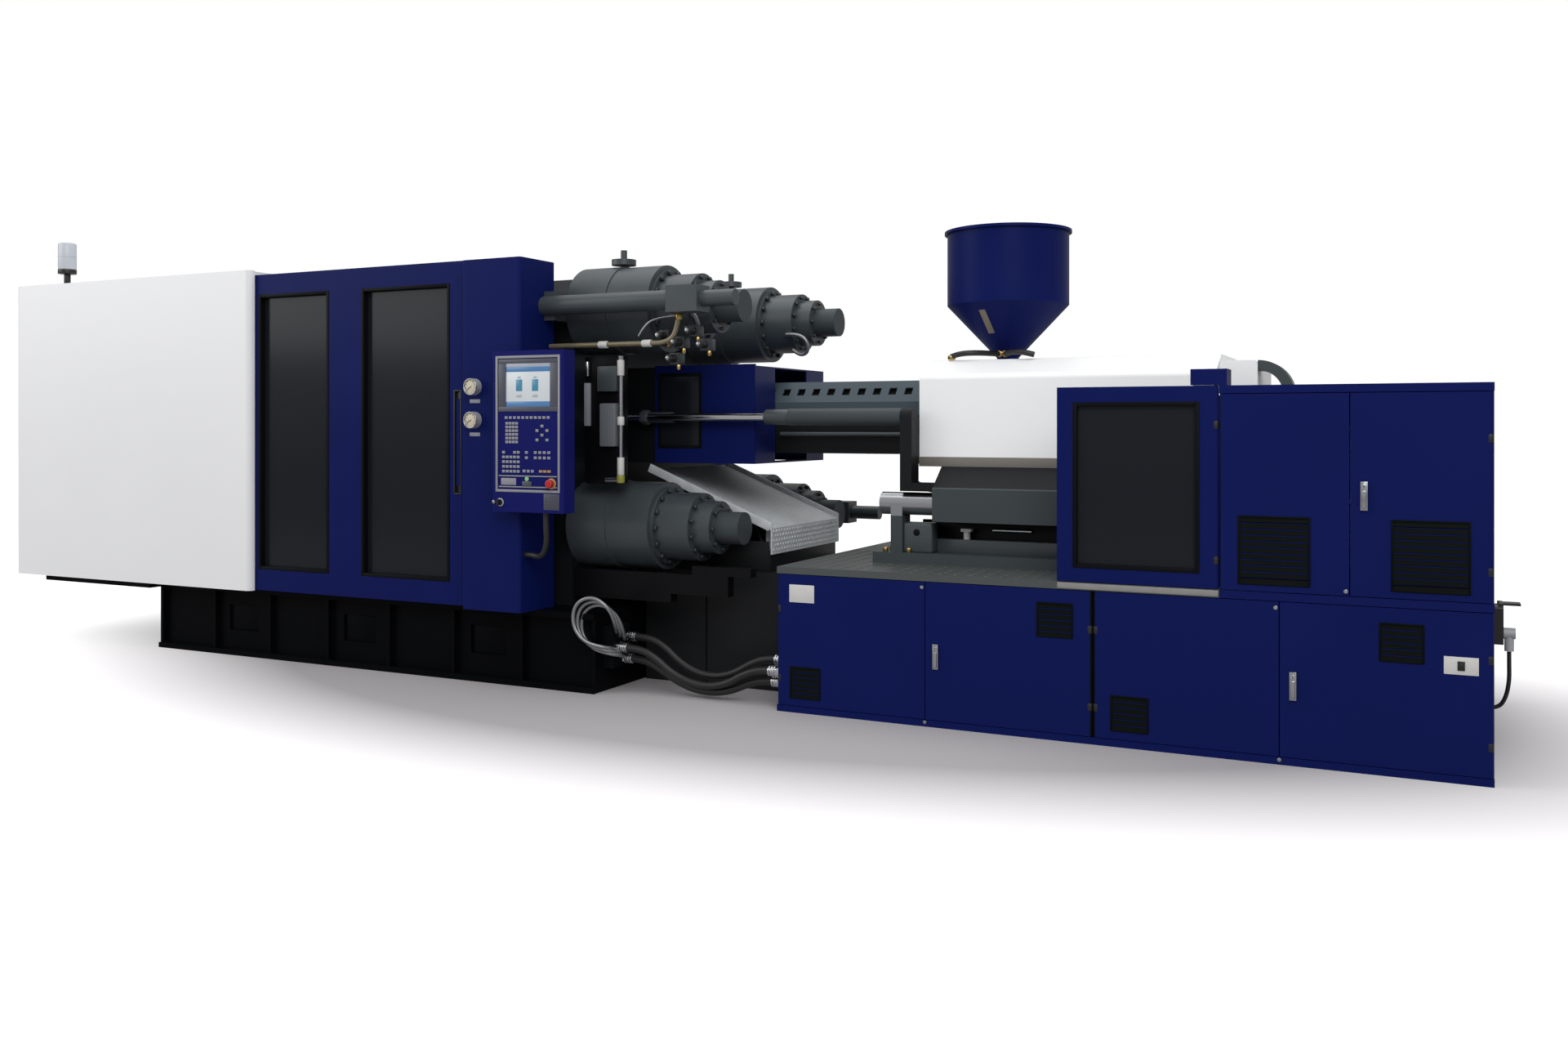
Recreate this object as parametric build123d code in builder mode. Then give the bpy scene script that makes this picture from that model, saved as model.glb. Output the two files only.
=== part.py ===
# Injection moulding machine, two-platen type, in millimetres.
# +X runs from the clamp end to the injection end, the operator stands at -Y, +Z is up.
# The origin lies on the floor under the middle of the machine.
import os
from math import atan2, degrees, radians, tan

from build123d import *

os.makedirs("parts", exist_ok=True)

# Clearances
overrun = 5
running_gap = 0.5
panel_gap = 3
seat_gap = 0.3

# Heights follow the clamp centreline; they are stated for one that lies 1390 above the floor
axis_height = 1390
height_share = axis_height / 1390

# Clamp bed: two box girders with ribs, cross beams and slide rails
bed_left_x = -2995
bed_right_x = 175
bed_height = 400 * height_share
bed_half_width = 1000
bed_flange = 30
bed_web = 25
bed_web_inset = 45
bed_foot_width = 240
bed_top_width = 420
rib_pitch = 450
rib_thickness = 22
hatch_width = 230
hatch_height = 150 * height_share
hatch_middle_z = 215 * height_share
cross_beam_width = 200
rail_inset = 90
rail_width = 130
rail_height = 45 * height_share

# Platens
platen_half_width = 780
rail_half_spacing = platen_half_width - rail_inset
platen_half_height = 740 * height_share
platen_corner = 120
platen_leg_width = 220
stationary_face_x = -565
stationary_thickness = 450
daylight = 1285
moving_thickness = 400
platen_travel = 840
nozzle_bore = 250
locating_bore = 200
locating_depth = 60
mould_bolt = 30
mould_bolt_depth = 60
mould_bolt_pitch_y = 300
mould_bolt_pitch_z = 280
boss_diameter = 290
boss_length = 60
shoe_length = 620
shoe_width = 150 * height_share

# Tie bars, lock nuts and clamp cylinders
tie_spacing_y = 1200
tie_spacing_z = 1130 * height_share
tie_diameter = 165
tail_diameter = 140
tail_length = 430
tail_end_x = -2480
groove_pitch = 30
groove_depth = 10
groove_count = 4
nut_outer_width = 150
nut_half_height = 150 * height_share
nut_stroke = 45
nut_split = 4
nut_plate = 40
chamber_diameter = 380
piston_diameter = 379
piston_left_x = 60
piston_length = 120
chamber_length = 415
cylinder_diameter = 453
cylinder_band = 464
cylinder_band_length = 240
cylinder_length = 510
neck_groove_diameter = 400
neck_groove_width = 16
cap_diameter = 350
cap_length = 190
ring_diameter = 270
ring_length = 100
stub_length = 135
vent_x = 95
vent_diameter = 130
vent_height = 30
vent_stem_diameter = 34
vent_stem_height = 50
vent_collar_height = 14

# Traverse cylinders that open and close the mould
traverse_y = 930
traverse_rise = 575 * height_share
traverse_tube = 100
traverse_rod_diameter = 50
traverse_right_x = 590
traverse_block = 130
traverse_block_length = 175
traverse_end_diameter = 80
traverse_end_length = 180
traverse_lug_length = 64
traverse_lug_height = 150
rod_bracket_length = 90
rod_bracket_height = 160

# Ejector
ejector_travel = 200
ejector_bore = 120
ejector_rod_diameter = 90
ejector_cylinder_diameter = 260
ejector_cylinder_length = 320
ejector_plate_size = 300
ejector_plate_thickness = 40

# Guards round the clamp
guard_top_z = 2210 * height_share
cover_left_x = -4200
cover_right_x = -2115
cover_front_y = 1100
cover_thickness = 40
cover_radius = 36
cover_top_z = 2236 * height_share
platform_left_x = -3960
platform_thickness = 34
platform_bracket = 260
platform_bracket_y = 300
gate_front_y = 1056
gate_thickness = 40
gate_left_x = -2150
gate_right_x = -560
gate_bottom_z = 404 * height_share
window_left_x = -2085
window_width = 530
window_right_x = -1305
window_right_width = 605
window_bottom_z = 530 * height_share
window_height = 1560 * height_share
pane_thickness = 8
handle_x = -643
handle_width = 42
handle_bottom_z = 990 * height_share
handle_height = 540 * height_share
handle_depth = 14
beam_size = 60
hanger_width = 60
hanger_thickness = 8
column_left_x = -550
column_width = 370
column_front_y = 1130
column_depth = 285
column_top_z = 2200 * height_share
column_edge = 14
cable_hole = 70

# Instruments on the front column
gauge_x = -466
gauge_z = 1460 * height_share
gauge_spacing = 170
gauge_diameter = 86
gauge_depth = 40
gauge_rim = 6
gauge_recess = 6
panel_left_x = -276
panel_width = 433
panel_bottom_z = 918 * height_share
panel_height = 800 * height_share
panel_front_y = 1230
panel_depth = 92
panel_edge = 10
bezel_width = 364
bezel_height = 650 * height_share
bezel_rise_z = 1030 * height_share
bezel_recess = 3
screen_width = 270
screen_height = 215 * height_share
screen_top_z = 1655 * height_share
screen_recess = 4
hinge_pin = 16
hinge_lug_height = 40
hinge_lug_width = 36
hinge_low_share = 0.2
hinge_high_share = 0.75
stop_diameter = 40
stop_height = 26
stop_stem = 22
stop_travel = 5
stop_x = 85
stop_z = 1062 * height_share
knob_diameter = 30
knob_height = 22
knob_x = -225
knob_z = 965 * height_share
knob_grip = 8
lamp_x = -3940
lamp_y = 930
lamp_diameter = 106
lamp_rise = 284
lamp_height_share = 0.6
lamp_stem_diameter = 36
lamp_foot_diameter = 80
lamp_foot_height = 14
lamp_round_share = 0.2

# Nozzle guard, purge chute and the housing between the two bases
purge_left_x = 188
purge_right_x = 793
purge_half_width = 430
purge_bottom_z = 1147 * height_share
purge_top_z = 1659 * height_share
purge_sheet = 8
purge_window_margin = 70
purge_window_edge = 27
purge_window_width = 258
purge_window_sill = 83
purge_window_head = 39
purge_notch = 400
chute_upper_x = 155
chute_upper_z = 1112 * height_share
chute_lower_x = 890
chute_lower_z = 815 * height_share
chute_half_width = 430
chute_leg = 40
chute_leg_y = 300
chute_floor = 8
chute_wall = 10
chute_wall_height = 26
chute_lip = 135
link_front_y = 530
link_top_z = 590 * height_share
link_sheet = 30
link_left_x = 190
link_split_x = 558
tray_y = 760
tray_thickness = 60
tray_right_x = 937
tray_top_z = 596 * height_share
tray_step_x = 480
tray_step_z = 449 * height_share
tray_mid_x = 810
tray_mid_z = 493 * height_share
tray_high_z = 640 * height_share
tray_rise_x = 605

# Injection base and electrical cabinet
base_left_x = 1165
base_right_x = 4144
base_half_depth = 930
base_height = 650 * height_share
base_sheet = 30
top_plate = 32
cabinet_left_x = 3163
cabinet_clearance = 30
header_width = 112
header_height = 68
cabinet_top_z = 1510 * height_share
guard_left_x = 2500
guard_window_left_x = 2573
guard_window_width = 508
guard_window_bottom_z = 750 * height_share
guard_window_height = 690 * height_share
door_thickness = 25
door_seam = 4
seam_one_x = 1904
seam_two_x = 2652
seam_three_x = 3392
seam_upper_x = 3649
door_swing_pin = 10
door_pin_depth = 12
louvre_slots = 6
louvre_slot = 9
lower_louvre_width = 158
lower_louvre_height = 150 * height_share
upper_louvre_width = 272
upper_louvre_height = 276 * height_share
louvre_one_x = 1312
louvre_two_x = 2490
louvre_three_x = 2805
louvre_four_x = 3831
louvre_five_x = 3371
louvre_six_x = 3930
louvre_low_z = 142 * height_share
louvre_high_z = 515 * height_share
louvre_upper_z = 848 * height_share
lower_handle_z = 317 * height_share
upper_handle_z = 1075 * height_share
handle_length = 112
handle_plate_width = 26
handle_plate_rise = 8
handle_inset = 38
socket_y = 550
socket_z = 560 * height_share
socket_width = 120
socket_height = 150
socket_depth = 46
lid_thickness = 8
lid_pin = 6

# Injection carriage and plasticising unit
carriage_travel = 450
rail_pad_left_x = 1500
rail_pad_height = 52
rail_pad_width = 150
guide_half_spacing = 480
guide_diameter = 110
guide_height = 968 * height_share
guide_left_x = 1526
guide_end_inset = 120
bracket_thickness = 60
bracket_width = 110
carriage_left_x = 1810
carriage_right_x = 3000
carriage_bottom_z = 890 * height_share
carriage_shoulder_z = 1046 * height_share
carriage_half_width = 570
barrel_front_x = 330
barrel_tail_length = 285
barrel_diameter = 210
barrel_bore = 90
nozzle_diameter = 90
nozzle_length = 420
nozzle_tip = 40
nozzle_tip_length = 70
nozzle_hole = 8
heater_left_x = 700
heater_right_x = 1660
heater_half_width = 180
heater_top_z = 1580 * height_share
heater_shoulder_z = 1470 * height_share
heater_bottom_z = 1200 * height_share
heater_sheet = 8
heater_slots = 11
heater_slot_width = 42
heater_slot_height = 46
slot_middle_share = 0.75
hood_left_x = 1696
hood_right_x = 3085
hood_half_width = 430
hood_bottom_z = 1150 * height_share
hood_shoulder_z = 1590 * height_share
hood_ridge_z = 1672 * height_share
hood_ridge_half_width = 250
hood_sheet = 20
hood_edge = 32
tail_box_right_x = 3245
tail_box_half_width = 300
tail_box_top_z = 1640 * height_share
hopper_x = 2015
barrel_right_x = hopper_x + barrel_tail_length
hopper_diameter = 610
hopper_top_z = 2330 * height_share
hopper_wall_bottom_z = 1955 * height_share
hopper_neck_z = 1690 * height_share
hopper_neck_diameter = 110
hopper_wall = 8
hopper_rim = 14
throat_size = 170
throat_rise = 35
push_cylinder_y = 490
push_cylinder_diameter = 86
push_cylinder_left_x = 1020
push_rod_diameter = 44
push_flange = 40
arm_clearance = 7
arm_height = 40
drive_gap = 20
drive_left_x = barrel_right_x + drive_gap
drive_length = 260
drive_half_width = 260
drive_half_height = 130
drive_motor_diameter = 220
drive_motor_length = 180
screw_diameter = 84
screw_root_diameter = 62
screw_tip_length = 120
chain_right_x = 3396
chain_half_width = 60
chain_y = 230
chain_thickness = 46

# Hydraulics inside the injection base
tank_left_x = 1230
tank_right_x = 2300
tank_front_y = -560
tank_height = 430 * height_share
motor_left_x = 2800
motor_length = 620
motor_diameter = 330 * height_share
motor_height = 330 * height_share
motor_fin_diameter = 356 * height_share
motor_fin_width = 22
motor_fin_pitch = 60
motor_fins = 7
pump_diameter = 240
pump_length = 180
motor_saddle = 60
backplate_thickness = 12
breaker_size = 90
breaker_depth = 70
breaker_pitch = 140 * height_share
breaker_rows = 3
breaker_columns = 4

# Hoses and cables: diameters, then routes chosen by hand
hose_diameter = 38
cable_diameter = 16
conduit_diameter = 30
run_share = 0.45
fitting_diameter = 52
manifold_depth = 60
manifold_y = (-915, -765)
manifold_z = (120 * height_share, 330 * height_share)
hose_routes = {
    "hose_upper": [
        (281, -800, 270),
        (381, -800, 270),
        (474, -804, 232),
        (558, -808, 164),
        (658, -812, 118),
        (768, -814, 106),
        (874, -812, 132),
        (958, -808, 184),
        (1042, -803, 217),
        (1119, -803, 217),
    ],
    "hose_middle": [
        (281, -880, 225),
        (377, -880, 225),
        (468, -875, 182),
        (552, -870, 117),
        (655, -867, 76),
        (764, -866, 66),
        (868, -868, 92),
        (952, -871, 142),
        (1042, -873, 174),
        (1119, -873, 174),
    ],
    "hose_lower": [
        (281, -835, 165),
        (374, -835, 165),
        (466, -840, 127),
        (556, -843, 78),
        (660, -844, 42),
        (768, -843, 34),
        (872, -841, 52),
        (960, -838, 92),
        (1042, -836, 117),
        (1119, -836, 117),
    ],
}
conduit_route = [
    (20, -1184, 918),
    (20, -1184, 852),
    (14, -1168, 772),
    (-22, -1142, 712),
    (-78, -1106, 686),
    (-130, -1090, 694),
    (-180, -1090, 694),
]
cable_route = [
    (4212, -550, 455),
    (4212, -550, 405),
    (4213, -546, 340),
    (4203, -538, 272),
    (4178, -528, 222),
    (4144, -528, 222),
]
plug_diameter = 44
plug_neck = 34
plug_length = 70
lid_length = 70


def span(low, high):
    """Middle and length of the stretch between two limits."""
    return (low + high) / 2, high - low


def raised(route):
    """A cord's route with its heights moved along with the clamp centreline."""
    return [(x, y, z * height_share) for x, y, z in route]


hose_routes = {name: raised(route) for name, route in hose_routes.items()}
conduit_route = raised(conduit_route)
cable_route = raised(cable_route)


def block(x_limits, y_limits, z_limits, mode=Mode.ADD):
    """A rectangular block between two limits on each axis."""
    (x_middle, x_size) = span(*x_limits)
    (y_middle, y_size) = span(*y_limits)
    (z_middle, z_size) = span(*z_limits)
    with Locations((x_middle, y_middle, z_middle)):
        Box(x_size, y_size, z_size, mode=mode)


def bar_x(x_limits, y, z, diameter, mode=Mode.ADD):
    """A round bar along X between two limits."""
    (x_middle, x_size) = span(*x_limits)
    with Locations((x_middle, y, z)):
        Cylinder(diameter / 2, x_size, rotation=(0, 90, 0), mode=mode)


def upright(x, y, z_limits, diameter, mode=Mode.ADD):
    """A round bar along Z between two limits."""
    (z_middle, z_size) = span(*z_limits)
    with Locations((x, y, z_middle)):
        Cylinder(diameter / 2, z_size, mode=mode)


def side_limits(side, near, far):
    """Y limits on one side of the machine, side is -1 in front and 1 behind."""
    return sorted((side * near, side * far))


def save(piece, name):
    """Label a finished piece and write its STEP file."""
    piece.part.label = name
    export_step(piece.part, f"parts/{name}.step")


# Values worked out from the driving sizes
hinge_gap = running_gap / 4
stationary_back_x = stationary_face_x + stationary_thickness
moving_face_x = stationary_face_x - daylight
moving_back_x = moving_face_x - moving_thickness
tie_y = tie_spacing_y / 2
tie_z = tie_spacing_z / 2
tie_places = [(y, axis_height + z) for y in (-tie_y, tie_y) for z in (-tie_z, tie_z)]
nut_length = groove_pitch * groove_count
nut_right_x = moving_back_x - boss_length - nut_plate
nut_left_x = nut_right_x - nut_length
cylinder_right_x = stationary_back_x + cylinder_length
cap_right_x = cylinder_right_x + cap_length
ring_right_x = cap_right_x + ring_length
platen_bottom_z = axis_height - platen_half_height
web_y = bed_half_width - bed_web_inset
cover_inner_y = cover_front_y - cover_thickness
gate_inner_y = gate_front_y - gate_thickness
beam_top_z = guard_top_z - beam_size
column_right_x = column_left_x + column_width
column_back_y = column_front_y - column_depth
panel_right_x = panel_left_x + panel_width
panel_back_y = panel_front_y - panel_depth
panel_top_z = panel_bottom_z + panel_height
panel_middle_x = panel_left_x + panel_width / 2
hinge_x = panel_left_x - hinge_lug_width / 2
hinge_y = -column_front_y - hinge_lug_width / 2 - panel_gap
lug_radius = hinge_lug_width / 2 - panel_gap
hinge_bottoms = [panel_bottom_z + share * panel_height for share in (hinge_low_share, hinge_high_share)]


# Bed girders: an I section along X, ribs outside and hatches through the web
girder_outline = [
    (bed_half_width, 0),
    (bed_half_width, bed_flange),
    (web_y, bed_flange),
    (web_y, bed_height - bed_flange),
    (bed_half_width, bed_height - bed_flange),
    (bed_half_width, bed_height),
    (bed_half_width - bed_top_width, bed_height),
    (bed_half_width - bed_top_width, bed_height - bed_flange),
    (web_y - bed_web, bed_height - bed_flange),
    (web_y - bed_web, bed_flange),
    (bed_half_width - bed_foot_width, bed_flange),
    (bed_half_width - bed_foot_width, 0),
]
bed_length = bed_right_x - bed_left_x
bay_count = round(bed_length / rib_pitch)
bay = (bed_length - rib_thickness) / bay_count
with BuildPart() as bed_frame:
    for side in (-1, 1):
        with BuildSketch(Plane.YZ.offset(bed_left_x)):
            with BuildLine():
                Polyline(*[(side * y, z) for y, z in girder_outline], close=True)
            make_face()
        extrude(amount=bed_length)
        for step in range(bay_count + 1):
            rib_left = bed_left_x + step * bay
            block(
                (rib_left, rib_left + rib_thickness),
                side_limits(side, web_y, bed_half_width - bed_flange / 2),
                (bed_flange, bed_height - bed_flange),
            )
        for step in range(1, bay_count, 2):
            hatch_x = bed_left_x + (step + 1 / 2) * bay
            block(
                (hatch_x - hatch_width / 2, hatch_x + hatch_width / 2),
                side_limits(side, web_y - bed_web - overrun, web_y + overrun),
                (hatch_middle_z - hatch_height / 2, hatch_middle_z + hatch_height / 2),
                mode=Mode.SUBTRACT,
            )
    for left in (bed_left_x, stationary_face_x, bed_right_x - cross_beam_width):
        block(
            (left, left + cross_beam_width),
            (bed_web - web_y + seat_gap, web_y - bed_web - seat_gap),
            (bed_flange + seat_gap, bed_height - bed_flange - seat_gap),
        )
    pad_y = bed_half_width - bed_foot_width - seat_gap
    block((bed_right_x - cross_beam_width, bed_right_x), (-pad_y, pad_y), (0, bed_flange * 2))
    rail_right_x = stationary_face_x - shoe_length / 4
    for side in (-1, 1):
        block(
            (bed_left_x, rail_right_x),
            side_limits(side, rail_half_spacing - rail_width / 2, rail_half_spacing + rail_width / 2),
            (bed_height + seat_gap, bed_height + rail_height),
        )
    platform_right_x = bed_left_x - seat_gap
    block(
        (platform_left_x, platform_right_x),
        (-cover_inner_y, cover_inner_y),
        (bed_height - platform_thickness, bed_height),
    )
    for side in (-1, 1):
        with BuildSketch(Plane.XZ.offset(side * platform_bracket_y)):
            with BuildLine():
                Polyline(
                    (platform_right_x, bed_height - platform_thickness),
                    (platform_right_x - platform_bracket, bed_height - platform_thickness),
                    (platform_right_x, bed_height - platform_thickness - platform_bracket / 2),
                    close=True,
                )
            make_face()
        extrude(amount=bed_web / 2, both=True)
save(bed_frame, "bed_frame")


# Guards: white cover panels, beams that the gates hang from, gates and columns
end_y = cover_inner_y - seat_gap
with BuildPart() as cover_panels:
    for side in (-1, 1):
        block(
            (cover_left_x, cover_right_x),
            side_limits(side, cover_inner_y, cover_front_y),
            (bed_height, cover_top_z),
        )
    upright_edges = cover_panels.edges().filter_by(Axis.Z).group_by(Axis.Y)
    fillet(upright_edges[0] + upright_edges[-1], cover_radius)
    block((cover_left_x, cover_left_x + cover_thickness), (-end_y, end_y), (bed_height, cover_top_z))
    block(
        (cover_left_x + cover_thickness + seat_gap, cover_right_x - cover_thickness),
        (-end_y, end_y),
        (cover_top_z - cover_thickness / 2, cover_top_z),
    )
save(cover_panels, "cover_panels")

window_spans = [
    (window_left_x, window_left_x + window_width),
    (window_right_x, window_right_x + window_right_width),
]
window_z = (window_bottom_z, window_bottom_z + window_height)
handle_z = (handle_bottom_z, handle_bottom_z + handle_height)
for name, side in (("front", -1), ("rear", 1)):
    with BuildPart() as gate:
        block(
            (gate_left_x, gate_right_x),
            side_limits(side, gate_inner_y, gate_front_y),
            (gate_bottom_z, guard_top_z),
        )
        for window_x in window_spans:
            block(
                window_x,
                side_limits(side, gate_inner_y - overrun, gate_front_y + overrun),
                window_z,
                mode=Mode.SUBTRACT,
            )
        block(
            (handle_x - handle_width / 2, handle_x + handle_width / 2),
            side_limits(side, gate_front_y - handle_depth, gate_front_y + overrun),
            handle_z,
            mode=Mode.SUBTRACT,
        )
        block(
            (handle_x - handle_width / 4, handle_x + handle_width / 4),
            side_limits(side, gate_front_y - handle_depth, gate_front_y - handle_depth / 4),
            (handle_bottom_z + handle_width, handle_bottom_z + handle_height - handle_width),
        )
        for hanger_x in (gate_left_x + hanger_width, gate_right_x - hanger_width):
            block(
                (hanger_x - hanger_width / 2, hanger_x + hanger_width / 2),
                side_limits(side, gate_inner_y - hanger_thickness, gate_inner_y),
                (beam_top_z - beam_size, beam_top_z + beam_size / 2),
            )
            block(
                (hanger_x - hanger_width / 2, hanger_x + hanger_width / 2),
                side_limits(side, gate_inner_y - beam_size, gate_inner_y - hanger_thickness),
                (beam_top_z + running_gap, beam_top_z + beam_size / 2),
            )
    save(gate, f"gate_{name}")

    with BuildPart() as panes:
        for window_x in window_spans:
            block(
                window_x,
                side_limits(side, gate_inner_y, gate_inner_y + pane_thickness),
                window_z,
            )
    save(panes, f"gate_windows_{name}")

with BuildPart() as guard_frame:
    for side in (-1, 1):
        block(
            (column_left_x, column_right_x),
            side_limits(side, column_back_y, column_front_y),
            (bed_height, column_top_z),
        )
    upright_edges = guard_frame.edges().filter_by(Axis.Z).group_by(Axis.Y)
    fillet(upright_edges[0] + upright_edges[-1], column_edge)
    for side in (-1, 1):
        bar_x(
            (column_left_x - overrun, column_right_x + overrun),
            side * traverse_y,
            axis_height - side * traverse_rise,
            cable_hole,
            mode=Mode.SUBTRACT,
        )
        beam_outer_y = gate_inner_y - hanger_thickness * 2
        block(
            (cover_left_x + cover_thickness, column_left_x - seat_gap),
            side_limits(side, beam_outer_y - beam_size, beam_outer_y),
            (beam_top_z - beam_size, beam_top_z),
        )
    for bottom in hinge_bottoms:
        block(
            (hinge_x - lug_radius, hinge_x + lug_radius),
            (hinge_y, -column_front_y),
            (bottom, bottom + hinge_lug_height),
        )
        upright(hinge_x, hinge_y, (bottom, bottom + hinge_lug_height), lug_radius * 2)
        with Locations((hinge_x, hinge_y, bottom + hinge_lug_height)):
            Cylinder(hinge_pin / 2, hinge_lug_height * 2)
save(guard_frame, "guard_frame")


# Instruments on the front column, and the signal lamp
with BuildPart() as gauges:
    for step in (-1, 1):
        dial_plane = Plane(
            origin=(gauge_x, -column_front_y, gauge_z + step * gauge_spacing / 2),
            x_dir=(1, 0, 0),
            z_dir=(0, -1, 0),
        )
        with BuildSketch(dial_plane):
            Circle(gauge_diameter / 2)
        extrude(amount=gauge_depth)
        with BuildSketch(dial_plane.offset(gauge_depth)):
            Circle(gauge_diameter / 2 - gauge_rim)
        extrude(amount=-gauge_recess, mode=Mode.SUBTRACT)
save(gauges, "pressure_gauges")

front_plane = Plane(origin=(0, -panel_front_y, 0), x_dir=(1, 0, 0), z_dir=(0, -1, 0))
with BuildPart() as panel:
    block((panel_left_x, panel_right_x), (-panel_front_y, -panel_back_y), (panel_bottom_z, panel_top_z))
    fillet(panel.edges().filter_by(Axis.Z).group_by(Axis.Y)[0], panel_edge)
    with BuildSketch(front_plane):
        with Locations((panel_middle_x, bezel_rise_z + bezel_height / 2)):
            Rectangle(bezel_width, bezel_height)
    extrude(amount=-bezel_recess, mode=Mode.SUBTRACT)
    with BuildSketch(front_plane):
        with Locations((panel_middle_x, screen_top_z - screen_height / 2)):
            Rectangle(screen_width, screen_height)
    extrude(amount=-bezel_recess - screen_recess, mode=Mode.SUBTRACT)
    for bottom in hinge_bottoms:
        lug_bottom = bottom + hinge_lug_height + running_gap
        block(
            (hinge_x, panel_left_x),
            (hinge_y - lug_radius, hinge_y + lug_radius),
            (lug_bottom, lug_bottom + hinge_lug_height),
        )
        upright(hinge_x, hinge_y, (lug_bottom, lug_bottom + hinge_lug_height), lug_radius * 2)
        with Locations((hinge_x, hinge_y, lug_bottom + hinge_lug_height / 2)):
            Cylinder(hinge_pin / 2 + hinge_gap, hinge_lug_height + overrun, mode=Mode.SUBTRACT)
    for place, bore in (((stop_x, stop_z), stop_stem), ((knob_x, knob_z), stop_stem)):
        with BuildSketch(front_plane):
            with Locations(place):
                Circle(bore / 2 + hinge_gap)
        extrude(amount=-stop_height - overrun, mode=Mode.SUBTRACT)
save(panel, "panel_housing")

with BuildPart() as stop_button:
    with BuildSketch(front_plane.offset(stop_travel + panel_gap)):
        with Locations((stop_x, stop_z)):
            Circle(stop_diameter / 2)
    extrude(amount=stop_height - stop_travel)
    fillet(stop_button.faces().sort_by(Axis.Y)[0].edges(), stop_travel)
    with BuildSketch(front_plane.offset(stop_travel + panel_gap)):
        with Locations((stop_x, stop_z)):
            Circle(stop_stem / 2)
    extrude(amount=-stop_height)
save(stop_button, "stop_button")

with BuildPart() as knob:
    with BuildSketch(front_plane.offset(panel_gap)):
        with Locations((knob_x, knob_z)):
            Circle(knob_diameter / 2)
    extrude(amount=knob_height)
    for side in (-1, 1):
        with BuildSketch(front_plane.offset(panel_gap + knob_height)):
            with Locations((knob_x + side * (knob_diameter + knob_grip) / 2, knob_z)):
                Rectangle(knob_diameter, knob_diameter + overrun)
        extrude(amount=-knob_height / 2, mode=Mode.SUBTRACT)
    with BuildSketch(front_plane.offset(panel_gap)):
        with Locations((knob_x, knob_z)):
            Circle(stop_stem / 2)
    extrude(amount=-knob_height)
save(knob, "selector_knob")

lamp_top_z = cover_top_z + lamp_rise
lamp_height = lamp_rise * lamp_height_share
with BuildPart() as signal_lamp:
    with Locations((lamp_x, -lamp_y, cover_top_z + lamp_foot_height / 2)):
        Cylinder(lamp_foot_diameter / 2, lamp_foot_height)
    stem_top = lamp_top_z - lamp_height
    with Locations((lamp_x, -lamp_y, (cover_top_z + stem_top) / 2)):
        Cylinder(lamp_stem_diameter / 2, stem_top - cover_top_z)
    with Locations((lamp_x, -lamp_y, lamp_top_z - lamp_height / 2)):
        Cylinder(lamp_diameter / 2, lamp_height)
    fillet(signal_lamp.faces().sort_by(Axis.Z)[-1].edges(), lamp_diameter * lamp_round_share)
save(signal_lamp, "signal_lamp")


# Clamp: platens, tie bars with clamp pistons, split lock nuts and cylinders
def platen_outline(half_width, half_height, corner):
    """Corner points of a platen seen along X, with cut corners."""
    return [
        (half_width - corner, -half_height),
        (half_width, corner - half_height),
        (half_width, half_height - corner),
        (half_width - corner, half_height),
        (corner - half_width, half_height),
        (-half_width, half_height - corner),
        (-half_width, corner - half_height),
        (corner - half_width, -half_height),
    ]


platen_points = platen_outline(platen_half_width, platen_half_height, platen_corner)
tie_hole = tie_diameter + running_gap * 2
bolt_places = [
    (y * mould_bolt_pitch_y, axis_height + z * mould_bolt_pitch_z) for y in (-1, 1) for z in (-1, 1)
]
leg_y = (platen_half_width - platen_leg_width, platen_half_width)
with BuildPart() as stationary_platen:
    with BuildSketch(Plane.YZ.offset(stationary_face_x)):
        with BuildLine():
            Polyline(*[(y, axis_height + z) for y, z in platen_points], close=True)
        make_face()
    extrude(amount=stationary_thickness)
    for side in (-1, 1):
        block(
            (stationary_face_x, stationary_back_x),
            side_limits(side, *leg_y),
            (bed_height, platen_bottom_z + platen_corner),
        )
    for y, z in tie_places:
        bar_x(
            (stationary_face_x - overrun, stationary_back_x + overrun),
            y,
            z,
            tie_hole,
            mode=Mode.SUBTRACT,
        )
    bar_x(
        (stationary_face_x - overrun, stationary_back_x + overrun),
        0,
        axis_height,
        locating_bore,
        mode=Mode.SUBTRACT,
    )
    bar_x(
        (stationary_face_x + locating_depth, stationary_back_x + overrun),
        0,
        axis_height,
        nozzle_bore,
        mode=Mode.SUBTRACT,
    )
    for y, z in bolt_places:
        bar_x(
            (stationary_face_x - overrun, stationary_face_x + mould_bolt_depth),
            y,
            z,
            mould_bolt,
            mode=Mode.SUBTRACT,
        )
save(stationary_platen, "stationary_platen")

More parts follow.
